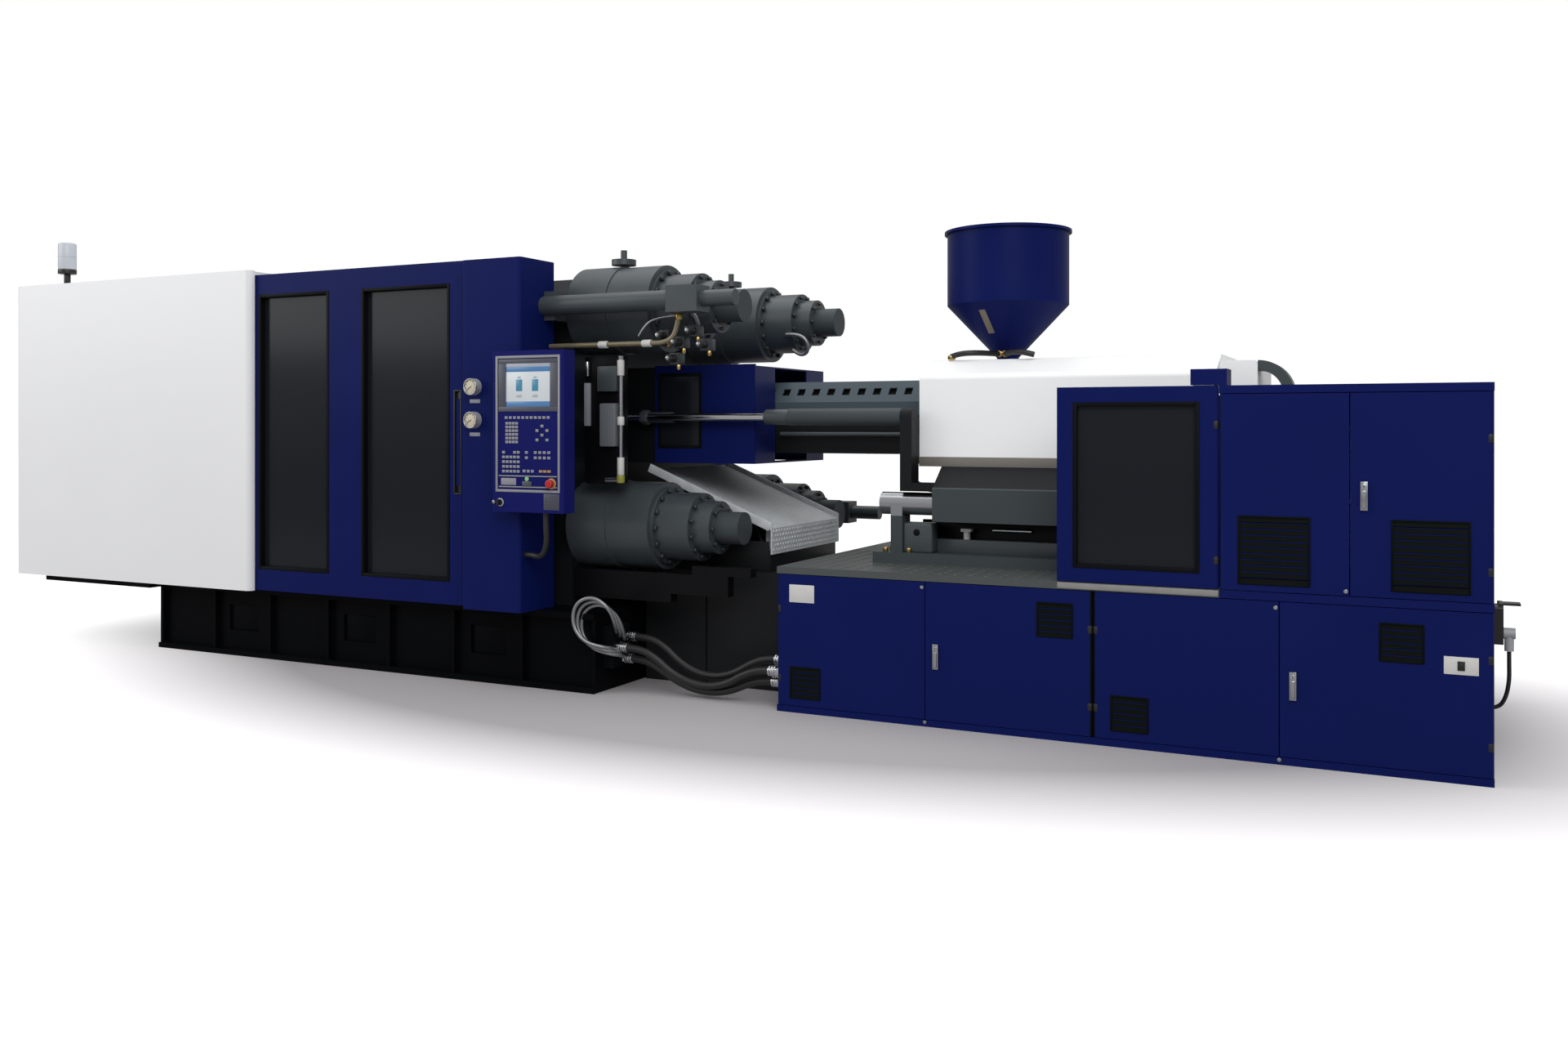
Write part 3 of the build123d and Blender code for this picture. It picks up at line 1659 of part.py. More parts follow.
chain_reach = chain_right_x - tail_box_right_x
chain_middle_z = tail_box_top_z - chain_reach
with BuildPart() as chain:
    with BuildSketch(Plane.XZ.offset(chain_y - chain_half_width)):
        with Locations((tail_box_right_x, chain_middle_z)):
            Circle(chain_reach)
            Circle(chain_reach - chain_thickness, mode=Mode.SUBTRACT)
        with Locations((tail_box_right_x - chain_reach, chain_middle_z)):
            Rectangle(chain_reach * 2, chain_reach * 2 + overrun, mode=Mode.SUBTRACT)
    extrude(amount=chain_half_width * 2)
save(chain, "cable_chain")

hopper_radius = hopper_diameter / 2
neck_radius = hopper_neck_diameter / 2
hopper_profile = [
    (neck_radius - hopper_wall, throat_top_z),
    (neck_radius, throat_top_z),
    (neck_radius, hopper_neck_z),
    (hopper_radius, hopper_wall_bottom_z),
    (hopper_radius, hopper_top_z - hopper_rim),
    (hopper_radius + hopper_rim, hopper_top_z - hopper_rim),
    (hopper_radius + hopper_rim, hopper_top_z),
    (hopper_radius - hopper_wall, hopper_top_z),
    (hopper_radius - hopper_wall, hopper_wall_bottom_z),
    (neck_radius - hopper_wall, hopper_neck_z),
]
with BuildPart() as hopper:
    with BuildSketch(Plane(origin=(hopper_x, 0, 0), x_dir=(1, 0, 0), z_dir=(0, -1, 0))):
        with BuildLine():
            Polyline(*hopper_profile, close=True)
        make_face()
    revolve(axis=Axis((hopper_x, 0, 0), (0, 0, 1)))
save(hopper, "hopper")

push_right_x = hood_left_x - panel_gap
arm_bottom_z = guide_height + guide_diameter / 2 + arm_clearance
ear_y = (hood_half_width + panel_gap, push_cylinder_y + push_cylinder_diameter / 2)
with BuildPart() as push_cylinders:
    for side in (-1, 1):
        y = side * push_cylinder_y
        bar_x((push_cylinder_left_x, push_right_x), y, axis_height, push_cylinder_diameter)
        block(
            (push_right_x - bracket_thickness, push_right_x),
            side_limits(side, *ear_y),
            (arm_bottom_z, axis_height),
        )
        block(
            (push_right_x - bracket_thickness, carriage_left_x - seat_gap),
            side_limits(side, *ear_y),
            (arm_bottom_z, arm_bottom_z + arm_height),
        )
        bar_x(
            (push_cylinder_left_x - overrun, push_rod_right_x + push_rod_diameter),
            y,
            axis_height,
            push_rod_diameter + running_gap * 2,
            mode=Mode.SUBTRACT,
        )
save(push_cylinders, "push_cylinders")

drive_bottom_z = carriage_top_z + running_gap
drive_right_x = drive_left_x + drive_length
with BuildPart() as drive:
    block(
        (drive_left_x, drive_right_x),
        (-drive_half_width, drive_half_width),
        (drive_bottom_z, axis_height + drive_half_height),
    )
    chamfer(drive.edges().filter_by(Axis.X).group_by(Axis.Z)[-1], drive_half_height / 2)
    bar_x((drive_right_x, drive_right_x + drive_motor_length), 0, axis_height, drive_motor_diameter)
save(drive, "injection_drive")

screw_left_x = barrel_front_x + screw_tip_length / 4
with BuildPart() as screw:
    with BuildSketch(Plane(origin=(0, 0, axis_height), x_dir=(1, 0, 0), z_dir=(0, -1, 0))):
        with BuildLine():
            Polyline(
                (screw_left_x, 0),
                (screw_left_x + screw_tip_length, screw_root_diameter / 2),
                (screw_left_x + screw_tip_length, screw_diameter / 2),
                (screw_left_x + screw_tip_length * 2, screw_diameter / 2),
                (screw_left_x + screw_tip_length * 2, screw_root_diameter / 2),
                (hopper_x, screw_root_diameter / 2),
                (hopper_x, screw_diameter / 2),
                (drive_left_x, screw_diameter / 2),
                (drive_left_x, 0),
                close=True,
            )
        make_face()
    revolve(axis=Axis((0, 0, axis_height), (1, 0, 0)))
save(screw, "screw")


# Oil tank, pump and motor inside the base
with BuildPart() as tank:
    block(
        (tank_left_x, tank_right_x),
        (tank_front_y, base_half_depth - base_sheet),
        (base_sheet, base_sheet + tank_height),
    )
    fillet(tank.edges().filter_by(Axis.Z), base_sheet)
save(tank, "oil_tank")

motor_right_x = motor_left_x + motor_length
with BuildPart() as motor:
    bar_x((motor_left_x, motor_right_x), 0, motor_height, motor_diameter)
    for step in range(motor_fins):
        fin_x = motor_left_x + motor_fin_pitch * (step + 1)
        bar_x((fin_x, fin_x + motor_fin_width), 0, motor_height, motor_fin_diameter)
    bar_x((motor_right_x, motor_right_x + pump_length), 0, motor_height, pump_diameter)
    for left in (motor_left_x + motor_saddle, motor_right_x - motor_saddle * 2):
        block(
            (left, left + motor_saddle),
            (-motor_diameter / 2, motor_diameter / 2),
            (base_sheet, motor_height),
        )
save(motor, "pump_motor")


# Hose manifold on the end of the bed, hose fittings on the base, hoses, conduit and cable
manifold_x = (bed_right_x, bed_right_x + manifold_depth)
with BuildPart() as fittings:
    block(manifold_x, manifold_y, manifold_z)
    for route in hose_routes.values():
        (x, y, z) = route[0]
        bar_x((manifold_x[1], x), y, z, fitting_diameter)
        (x, y, z) = route[-1]
        bar_x((x, base_left_x), y, z, fitting_diameter)
save(fittings, "hose_fittings")


def corner_radii(points):
    """Largest arc at each inner corner of a route, from its shorter run and its turn."""
    radii = []
    for before, corner, after in zip(points, points[1:], points[2:]):
        run_in = Vector(*corner) - Vector(*before)
        run_out = Vector(*after) - Vector(*corner)
        half_turn = radians(run_in.get_angle(run_out)) / 2
        radii.append(run_share * min(run_in.length, run_out.length) / tan(half_turn))
    return radii


cords = [(name, route, hose_diameter) for name, route in hose_routes.items()]
cords.append(("panel_conduit", conduit_route, conduit_diameter))
cords.append(("end_cable", cable_route, cable_diameter))
for name, route, diameter in cords:
    radii = corner_radii(route)
    print(name, "radii", [round(radius) for radius in radii])
    with BuildPart() as cord:
        with BuildLine() as path:
            FilletPolyline(*route, radius=radii)
        start_plane = Plane(origin=route[0], z_dir=Vector(*route[1]) - Vector(*route[0]))
        with BuildSketch(start_plane):
            Circle(diameter / 2)
        sweep(path=path.wires()[0])
    length = sum(edge.length for edge in path.edges())
    print(name, "length", round(length), "volume", round(cord.part.volume))
    save(cord, name)

# Socket on the right-hand end with a hinged lid, and the plug in it
socket_x = (base_right_x, base_right_x + socket_depth)
socket_limits_y = (-socket_y - socket_width / 2, -socket_y + socket_width / 2)
lid_axis_z = socket_z + socket_height / 2 + lid_pin
with BuildPart() as socket:
    block(socket_x, socket_limits_y, (socket_z - socket_height / 2, socket_z + socket_height / 2))
    fillet(socket.edges().filter_by(Axis.X), lid_thickness)
    for low, high in (
        (socket_limits_y[0] + lid_thickness, socket_limits_y[0] + lid_thickness * 3),
        (socket_limits_y[1] - lid_thickness * 3, socket_limits_y[1] - lid_thickness),
    ):
        block((socket_x[1] - lid_pin * 3, socket_x[1]), (low, high), (socket_z, lid_axis_z + lid_pin))
    with Locations((socket_x[1] - lid_pin * 3 / 2, -socket_y, lid_axis_z)):
        Cylinder(lid_pin / 2, socket_width - lid_thickness * 2, rotation=(90, 0, 0))
save(socket, "power_socket")

lid_middle_x = socket_x[1] - lid_pin * 3 / 2
lid_half_width = socket_width / 2 - lid_thickness * 3 - panel_gap
with BuildPart() as lid:
    with Locations((lid_middle_x, -socket_y, lid_axis_z)):
        Cylinder(lid_pin, lid_half_width * 2, rotation=(90, 0, 0))
    block(
        (lid_middle_x, lid_middle_x + lid_length),
        (-socket_y - lid_half_width, -socket_y + lid_half_width),
        (lid_axis_z - lid_pin + panel_gap, lid_axis_z + lid_pin),
    )
    with Locations((lid_middle_x, -socket_y, lid_axis_z)):
        Cylinder(lid_pin / 2 + hinge_gap, socket_width, rotation=(90, 0, 0), mode=Mode.SUBTRACT)
save(lid, "socket_lid")

(plug_x, plug_y, plug_z) = cable_route[0]
with BuildPart() as plug:
    bar_x((socket_x[1], plug_x + plug_diameter / 2), plug_y, plug_z + plug_length, plug_diameter)
    upright(plug_x, plug_y, (plug_z, plug_z + plug_length), plug_neck)
save(plug, "power_plug")
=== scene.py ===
import math

import bpy
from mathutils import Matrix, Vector


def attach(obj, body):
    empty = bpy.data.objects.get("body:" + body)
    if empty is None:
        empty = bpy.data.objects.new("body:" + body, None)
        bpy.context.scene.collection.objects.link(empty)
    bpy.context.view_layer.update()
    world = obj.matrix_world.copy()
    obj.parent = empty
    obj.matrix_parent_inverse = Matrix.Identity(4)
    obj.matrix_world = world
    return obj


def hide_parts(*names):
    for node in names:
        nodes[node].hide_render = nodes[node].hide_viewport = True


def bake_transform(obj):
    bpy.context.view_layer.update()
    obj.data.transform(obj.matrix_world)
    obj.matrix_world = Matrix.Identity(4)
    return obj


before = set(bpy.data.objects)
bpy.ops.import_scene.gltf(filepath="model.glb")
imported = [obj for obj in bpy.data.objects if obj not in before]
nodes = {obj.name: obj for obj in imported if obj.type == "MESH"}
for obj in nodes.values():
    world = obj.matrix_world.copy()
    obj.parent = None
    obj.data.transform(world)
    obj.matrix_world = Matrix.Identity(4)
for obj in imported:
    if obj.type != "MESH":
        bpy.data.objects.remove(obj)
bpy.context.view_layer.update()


# Shader helpers, then shared effects, each a node group that puts out a colour, a value or a height
def put(node, values):
    """Set a node's own input sockets."""
    for socket, value in values.items():
        node.inputs[socket].default_value = value


def wire(tree, *routes):
    """Link nodes, each route given as source, its output, target and its input."""
    for source, output, target, socket in routes:
        tree.links.new(source.outputs[output], target.inputs[socket])


def add_node(tree, kind, **settings):
    """A new shader node of a kind, with its settings."""
    node = tree.nodes.new(f"ShaderNode{kind}")
    for setting, value in settings.items():
        setattr(node, setting, value)
    return node


def new_material(name):
    """An empty material, with its node tree and its surface shader."""
    material = bpy.data.materials.new(name)
    material.use_nodes = True
    return material, material.node_tree, material.node_tree.nodes["Principled BSDF"]


def effect_group(name, inputs, outputs):
    """An empty shader node group with named sockets, and its input and output nodes."""
    group = bpy.data.node_groups.new(name, "ShaderNodeTree")
    for label, kind, value in inputs:
        socket = group.interface.new_socket(label, in_out="INPUT", socket_type=kind)
        socket.default_value = value
    for label, kind in outputs:
        group.interface.new_socket(label, in_out="OUTPUT", socket_type=kind)
    way_in = group.nodes.new("NodeGroupInput")
    way_out = group.nodes.new("NodeGroupOutput")
    return group, way_in, way_out


def paint_cloud_group():
    """Soft cloudy change in a paint's colour and gloss, as on large sprayed sheets."""
    group, way_in, way_out = effect_group(
        "paint_cloud",
        [
            ("Light", "NodeSocketColor", (0.8, 0.8, 0.8, 1)),
            ("Dark", "NodeSocketColor", (0.5, 0.5, 0.5, 1)),
            ("Scale", "NodeSocketFloat", 2.0),
            ("Gloss Low", "NodeSocketFloat", 0.3),
            ("Gloss High", "NodeSocketFloat", 0.45),
        ],
        [("Color", "NodeSocketColor"), ("Roughness", "NodeSocketFloat"), ("Height", "NodeSocketFloat")],
    )
    place = add_node(group, "TexCoord")
    cloud = add_node(group, "TexNoise")
    put(cloud, {"Detail": 4})
    blend = add_node(group, "Mix", data_type="RGBA")
    gloss = add_node(group, "MapRange")
    grain = add_node(group, "TexNoise")
    put(grain, {"Scale": 420})
    wire(
        group,
        (place, "Object", cloud, "Vector"),
        (place, "Object", grain, "Vector"),
        (way_in, "Scale", cloud, "Scale"),
        (cloud, "Fac", blend, "Factor"),
        (way_in, "Dark", blend, "A"),
        (way_in, "Light", blend, "B"),
        (cloud, "Fac", gloss, "Value"),
        (way_in, "Gloss Low", gloss, "To Min"),
        (way_in, "Gloss High", gloss, "To Max"),
        (blend, "Result", way_out, "Color"),
        (gloss, "Result", way_out, "Roughness"),
        (grain, "Fac", way_out, "Height"),
    )
    return group


paint_cloud = paint_cloud_group()


def finish(name, light, dark, gloss=(0.3, 0.42), scale=2.0, metallic=0.0, grain=0.02, shine=0.5):
    """A painted, cast or metal finish with cloudy colour and a fine grain."""
    material, tree, shader = new_material(name)
    put(shader, {"Metallic": metallic, "Specular IOR Level": shine})
    effect = add_node(tree, "Group", node_tree=paint_cloud)
    put(effect, {"Light": (*light, 1), "Dark": (*dark, 1), "Scale": scale})
    put(effect, {"Gloss Low": gloss[0], "Gloss High": gloss[1]})
    bump = add_node(tree, "Bump")
    put(bump, {"Strength": grain, "Distance": 0.002})
    wire(
        tree,
        (effect, "Color", shader, "Base Color"),
        (effect, "Roughness", shader, "Roughness"),
        (effect, "Height", bump, "Height"),
        (bump, "Normal", shader, "Normal"),
    )
    return material


def side_mask_group():
    """A mask that is 1 beyond a limit along a direction and 0 before it."""
    group, way_in, way_out = effect_group(
        "side_mask",
        [("Direction", "NodeSocketVector", (1, 0, 0)), ("Limit", "NodeSocketFloat", 0.0)],
        [("Mask", "NodeSocketFloat")],
    )
    place = add_node(group, "TexCoord")
    along = add_node(group, "VectorMath", operation="DOT_PRODUCT")
    beyond = add_node(group, "Math", operation="GREATER_THAN")
    wire(
        group,
        (place, "Object", along, 0),
        (way_in, "Direction", along, 1),
        (along, "Value", beyond, 0),
        (way_in, "Limit", beyond, 1),
        (beyond, "Value", way_out, "Mask"),
    )
    return group


side_mask = side_mask_group()


def split_finish(name, direction, limit, before, beyond, shine=0.2):
    """Two finishes on one casting or bar, each given as colour, metallic and roughness; one of them may be
    painted shade.
    """
    material, tree, shader = new_material(name)
    put(shader, {"Specular IOR Level": shine})
    mask = add_node(tree, "Group", node_tree=side_mask)
    put(mask, {"Direction": direction, "Limit": limit})
    colours = add_node(tree, "Mix", data_type="RGBA")
    put(colours, {"A": (*before[0], 1), "B": (*beyond[0], 1)})
    wire(tree, (mask, "Mask", colours, "Factor"), (colours, "Result", shader, "Base Color"))
    for index, socket in enumerate(("Metallic", "Roughness"), 1):
        blend = add_node(tree, "MapRange")
        put(blend, {"To Min": before[index], "To Max": beyond[index]})
        wire(tree, (mask, "Mask", blend, "Value"), (blend, "Result", shader, socket))
    return material


navy_paint = finish("navy_paint", (0.0058, 0.0115, 0.098), (0.0040, 0.0090, 0.078), shine=0.05)
panel_navy = finish("panel_navy", (0.009, 0.0115, 0.125), (0.007, 0.009, 0.10), shine=0.06)
bed_paint = finish("bed_paint", (0.0034, 0.0038, 0.0046), (0.0020, 0.0023, 0.0029), shine=0.03)
white_paint = finish("white_paint", (0.85, 0.86, 0.875), (0.82, 0.83, 0.85))
hood_paint = finish("hood_paint", (0.95, 0.96, 0.965), (0.925, 0.935, 0.945))
casting_paint = finish("casting_paint", (0.058, 0.072, 0.079), (0.041, 0.050, 0.055), scale=7, grain=0.12)
# Near-black platen colour is painted shade: the stationary platen stands in the dark between the clamp
# cylinders and the guards.
platen_painted_shade = finish(
    "platen_painted_shade", (0.010, 0.013, 0.015), (0.006, 0.008, 0.009), scale=6, grain=0.1, shine=0.2
)
# Near black on the drip tray and the plate behind the oil pipes; on the plates under the saddle and in the
# bracket web holes it is painted shade.
tray_and_shade_black = finish("tray_and_shade_black", (0.005, 0.005, 0.006), (0.003, 0.003, 0.004), shine=0.12)
shade_paint = finish("shade_paint", (0.016, 0.017, 0.019), (0.011, 0.012, 0.013), shine=0.15)
bright_steel = finish("bright_steel", (0.46, 0.47, 0.48), (0.36, 0.37, 0.38), (0.22, 0.34), 9, metallic=1)
chrome_rod = finish("chrome_rod", (0.62, 0.63, 0.65), (0.55, 0.56, 0.58), (0.1, 0.18), 6, metallic=1)
galvanised = finish("galvanised", (0.76, 0.79, 0.80), (0.50, 0.53, 0.55), (0.4, 0.6), 26, metallic=0.1)
tread_grey = finish("tread_grey", (0.115, 0.128, 0.126), (0.075, 0.084, 0.083), (0.35, 0.5), 6, metallic=0.4)
black_rubber = finish("black_rubber", (0.012, 0.012, 0.013), (0.008, 0.008, 0.009), (0.4, 0.55), 14)
gasket_black = finish("gasket_black", (0.006, 0.006, 0.007), (0.004, 0.004, 0.005), (0.4, 0.55), shine=0.06)
black_plastic = finish("black_plastic", (0.01, 0.01, 0.011), (0.007, 0.007, 0.008), (0.35, 0.5))
louvre_black = finish(
    "louvre_black", (0.0045, 0.0065, 0.0050), (0.002, 0.0032, 0.0024), (0.4, 0.6), shine=0.05
)
red_plastic = finish("red_plastic", (0.48, 0.02, 0.018), (0.4, 0.015, 0.014), (0.2, 0.3))
grey_plastic = finish("grey_plastic", (0.38, 0.39, 0.41), (0.33, 0.34, 0.36), (0.35, 0.5))
bezel_grey = finish("bezel_grey", (0.075, 0.08, 0.105), (0.06, 0.064, 0.088), (0.35, 0.5))
motor_grey = finish("motor_grey", (0.16, 0.17, 0.19), (0.12, 0.13, 0.145))
brass_bolt = finish("brass_bolt", (0.55, 0.38, 0.14), (0.42, 0.28, 0.1), (0.22, 0.35), 12, metallic=1)
casting_dark = finish("casting_dark", (0.030, 0.038, 0.043), (0.022, 0.028, 0.032), scale=7)
bezel_pale = finish("bezel_pale", (0.27, 0.275, 0.28), (0.23, 0.235, 0.24), (0.3, 0.45))
key_grey = finish("key_grey", (0.27, 0.275, 0.31), (0.22, 0.225, 0.26), (0.4, 0.5), 40)
key_tan = finish("key_tan", (0.42, 0.25, 0.08), (0.36, 0.21, 0.07), (0.35, 0.5))
dial_cream = finish("dial_cream", (0.62, 0.57, 0.44), (0.58, 0.53, 0.41), (0.3, 0.4))
# Taupe for the white hood's inward-sloped lower lip: painted shade.
shaded_lip_taupe = finish("shaded_lip_taupe", (0.20, 0.185, 0.165), (0.16, 0.148, 0.13), (0.4, 0.55))
hose_braid = finish(
    "hose_braid", (0.42, 0.43, 0.44), (0.16, 0.165, 0.17), (0.3, 0.5), 160, metallic=0.8, grain=0.3
)
pipe_tan = finish("pipe_tan", (0.26, 0.22, 0.14), (0.20, 0.17, 0.11), (0.3, 0.45), 20, metallic=0.4)
pipe_band = finish("pipe_band", (0.62, 0.62, 0.60), (0.56, 0.56, 0.54), (0.35, 0.5), 20)
sight_tan = finish("sight_tan", (0.20, 0.17, 0.12), (0.16, 0.135, 0.095), (0.3, 0.45), 20)
rail_bright = finish("rail_bright", (0.27, 0.265, 0.255), (0.21, 0.205, 0.195), (0.35, 0.5), 18)
olive_joint = finish("olive_joint", (0.30, 0.30, 0.05), (0.24, 0.24, 0.04), (0.3, 0.45))


def lit(name, colour, glow, roughness=0.25, shine=0.5):
    """A surface of one colour that may glow a little: a screen, a lamp or a smoked window."""
    material, tree, shader = new_material(name)
    put(shader, {"Base Color": (*colour, 1), "Roughness": roughness, "Specular IOR Level": shine})
    put(shader, {"Emission Color": (*colour, 1), "Emission Strength": glow})
    return material


screen_white = lit("screen_white", (0.47, 0.50, 0.52), 0.35)
screen_blue = lit("screen_blue", (0.06, 0.16, 0.33), 0.3)
screen_grey = lit("screen_grey", (0.30, 0.33, 0.38), 0.3)
screen_teal = lit("screen_teal", (0.05, 0.19, 0.30), 0.3)
green_lamp = lit("green_lamp", (0.22, 0.46, 0.20), 0.15)
lamp_lens = lit("lamp_lens", (0.50, 0.53, 0.58), 0.05, 0.35)
smoked_window = lit("smoked_window", (0.011, 0.013, 0.017), 0.0, 0.16, 0.15)

# Pieces with two finishes, as colour, metallic and roughness on each side of a limit; on some of them the
# dark side is painted shade
painted = ((0.050, 0.061, 0.066), 0.0, 0.45)
ground_bar = ((0.58, 0.59, 0.61), 1.0, 0.15)
ground_rod = ((0.42, 0.44, 0.46), 1.0, 0.28)
heater_grey = ((0.058, 0.082, 0.098), 0.0, 0.45)
navy_flat = ((0.0049, 0.0102, 0.088), 0.0, 0.36)
nozzle_navy = ((0.0075, 0.012, 0.088), 0.0, 0.35)
# Near black: painted shade on the nozzle guard's end; also a dark part of the hose fittings and a dark strip
# on door 2 and door 3 along their seam.
near_black = ((0.004, 0.005, 0.006), 0.0, 0.5)
black_shade = ((0.006, 0.007, 0.008), 0.0, 0.5)
worn_tread = ((0.095, 0.106, 0.104), 0.4, 0.42)
plain_steel = ((0.41, 0.42, 0.43), 1.0, 0.28)
rightward, leftward, upward = (1, 0, 0), (-1, 0, 0), (0, 0, 1)
front_right = (0.02, -1, 0)
tie_bar_finish = split_finish("tie_bar_finish", rightward, 0.5, ground_bar, painted)
# Left of x 0.186 the nozzle guard is painted near black: painted shade in the dark gap by the stationary
# platen.
nozzle_paint_and_shade = split_finish("nozzle_paint_and_shade", rightward, 0.186, near_black, nozzle_navy)
top_plate_finish = split_finish("top_plate_finish", front_right, 0.99326, worn_tread, navy_flat, 0.06)
fitting_finish = split_finish("fitting_finish", rightward, 0.236, near_black, plain_steel, 0.06)
# Door 2 and door 3 turn near black along their edges at the seam between them, from x 2.641 to 2.663.
door_2_finish = split_finish("door_2_finish", rightward, 2.641, navy_flat, near_black, 0.05)
door_3_finish = split_finish("door_3_finish", leftward, -2.663, navy_flat, near_black, 0.05)
guide_finish = split_finish("guide_finish", upward, 0.910, painted, ground_rod)
# Above z 1.052 the carriage's sloped top is painted black: painted shade under the hood.
carriage_paint_and_shade = split_finish("carriage_paint_and_shade", upward, 1.052, painted, black_shade)
# Below z 1.400 the heater cover is painted black: painted shade on its lower half.
heater_paint_and_shade = split_finish("heater_paint_and_shade", upward, 1.400, black_shade, heater_grey)
# Beyond x 1.630 the push cylinders' ear is painted black: painted shade by the hood's front end.
push_paint_and_shade = split_finish("push_paint_and_shade", rightward, 1.630, painted, black_shade)

node_finish = [
    (bright_steel, ("barrel", "ejector_plate", "lock_nuts_far", "lock_nuts_near", "screw")),
    (navy_paint, ("base_carcass", "electrical_cabinet", "gate_front", "gate_rear", "guard_frame", "hopper")),
    (navy_paint, ("oil_tank", "purge_door", "window_guard", "door_1", "door_4", "door_5", "door_6")),
    (casting_paint, ("cable_chain", "clamp_cylinders", "injection_drive", "moving_platen")),
    (casting_paint, ("traverse_cylinders",)),
    (smoked_window, ("gate_windows_front", "gate_windows_rear", "window_guard_pane")),
    (black_plastic, ("power_socket", "selector_knob", "socket_lid")),
    (grey_plastic, ("power_plug", "pressure_gauges", "signal_lamp")),
    (galvanised, ("electrical_backplate", "purge_chute")),
    (chrome_rod, ("push_rods", "traverse_rods")),
    (bed_paint, ("bed_frame",)),
    (white_paint, ("cover_panels",)),
    (hood_paint, ("hood",)),
    (tray_and_shade_black, ("drip_tray",)),
    (shade_paint, ("link_housing",)),
    (panel_navy, ("panel_housing",)),
    (motor_grey, ("pump_motor",)),
    (platen_painted_shade, ("stationary_platen",)),
    (red_plastic, ("stop_button",)),
    (carriage_paint_and_shade, ("carriage",)),
    (guide_finish, ("guide_rods",)),
    (heater_paint_and_shade, ("heater_cover",)),
    (fitting_finish, ("hose_fittings",)),
    (nozzle_paint_and_shade, ("nozzle_guard",)),
    (push_paint_and_shade, ("push_cylinders",)),
    (tie_bar_finish, ("tie_bars",)),
    (top_plate_finish, ("top_plate",)),
    (door_2_finish, ("door_2",)),
    (door_3_finish, ("door_3",)),
]
for material, names in node_finish:
    for name in names:
        mesh = nodes[name].data
        mesh.materials.clear()
        mesh.materials.append(material)


# Modelling helpers: a primitive at its place, shaped in edit mode, then painted and gathered
def start_clean():
    """Object mode with nothing selected."""
    if bpy.context.mode != "OBJECT":
        bpy.ops.object.mode_set(mode="OBJECT")
    bpy.ops.object.select_all(action="DESELECT")


def show(piece):
    """Put a new object in the scene."""
    bpy.context.scene.collection.objects.link(piece)


def pick(pieces):
    """Select just these pieces, the first one active."""
    start_clean()
    for piece in pieces:
        piece.select_set(True)
    bpy.context.view_layer.objects.active = pieces[0]


def settle():
    """Put the active piece's place, turn and size into its mesh."""
    bpy.ops.object.transform_apply(location=True, rotation=True, scale=True)


def soften(edge, segments):
    """Settle the active piece, bevel its sharp edges and smooth it by angle."""
    settle()
    bpy.ops.object.mode_set(mode="EDIT")
    bpy.ops.mesh.select_mode(type="EDGE")
    bpy.ops.mesh.select_all(action="DESELECT")
    bpy.ops.mesh.edges_select_sharp(sharpness=math.radians(40))
    bpy.ops.mesh.bevel(offset=edge, segments=segments)
    bpy.ops.object.mode_set(mode="OBJECT")
    bpy.ops.object.shade_smooth_by_angle(angle=math.radians(35))


def slab(middle, size, material, edge=0.002, segments=2, turn=(0, 0, 0)):
    """A plate or block with eased edges about a middle, turned in place."""
    start_clean()
    bpy.ops.mesh.primitive_cube_add(size=1, location=middle, rotation=turn)
    piece = bpy.context.object
    piece.scale = size
    soften(min(edge, min(size) / 3), segments)
    piece.data.materials.append(material)
    return piece


def plate(low, high, material, edge=0.002, segments=2):
    """A plate or block with eased edges between two corners."""
    middle = [(a + b) / 2 for a, b in zip(low, high)]
    size = [abs(b - a) for a, b in zip(low, high)]
    return slab(middle, size, material, edge, segments)


def rim_plates(left, right, low, high, near, far, wide, material):
    """Four plates that frame a rectangle, inside its outline."""
    return [
        plate((left, near, low), (left + wide, far, high), material),
        plate((right - wide, near, low), (right, far, high), material),
        plate((left + wide, near, high - wide), (right - wide, far, high), material),
        plate((left + wide, near, low), (right - wide, far, low + wide), material),
    ]


def bar(start, end, radius, material, edge=0.002, sides=24):
    """A round bar, or a hexagon with six sides, from one point to another, with eased ends."""
    start_clean()
    run = Vector(end) - Vector(start)
    bpy.ops.mesh.primitive_cone_add(
        vertices=sides,
        radius1=radius,
        radius2=radius,
        depth=run.length,
        location=(Vector(start) + Vector(end)) / 2,
        rotation=run.to_track_quat("Z", "Y").to_euler(),
    )
    piece = bpy.context.object
    soften(min(edge, run.length / 3, radius / 3), 2)
    piece.data.materials.append(material)
    return piece


def ring(middle, direction, radius, thickness, material):
    """A round wire ring about a direction: a small circle, spun all the way round."""
    start_clean()
    bpy.ops.mesh.primitive_circle_add(
        vertices=10, radius=thickness / 2, location=(radius, 0, 0), rotation=(math.radians(90), 0, 0)
    )
    piece = bpy.context.object
    settle()
    bpy.ops.object.mode_set(mode="EDIT")
    bpy.ops.mesh.select_all(action="SELECT")
    bpy.ops.mesh.spin(steps=40, angle=math.tau, center=(0, 0, 0), axis=(0, 0, 1))
    bpy.ops.mesh.select_all(action="SELECT")
    bpy.ops.mesh.remove_doubles(threshold=0.00001)
    bpy.ops.mesh.normals_make_consistent(inside=False)
    bpy.ops.object.mode_set(mode="OBJECT")
    piece.rotation_euler = Vector(direction).to_track_quat("Z", "Y").to_euler()
    piece.location = middle
    settle()
    bpy.ops.object.shade_smooth()
    piece.data.materials.append(material)
    return piece


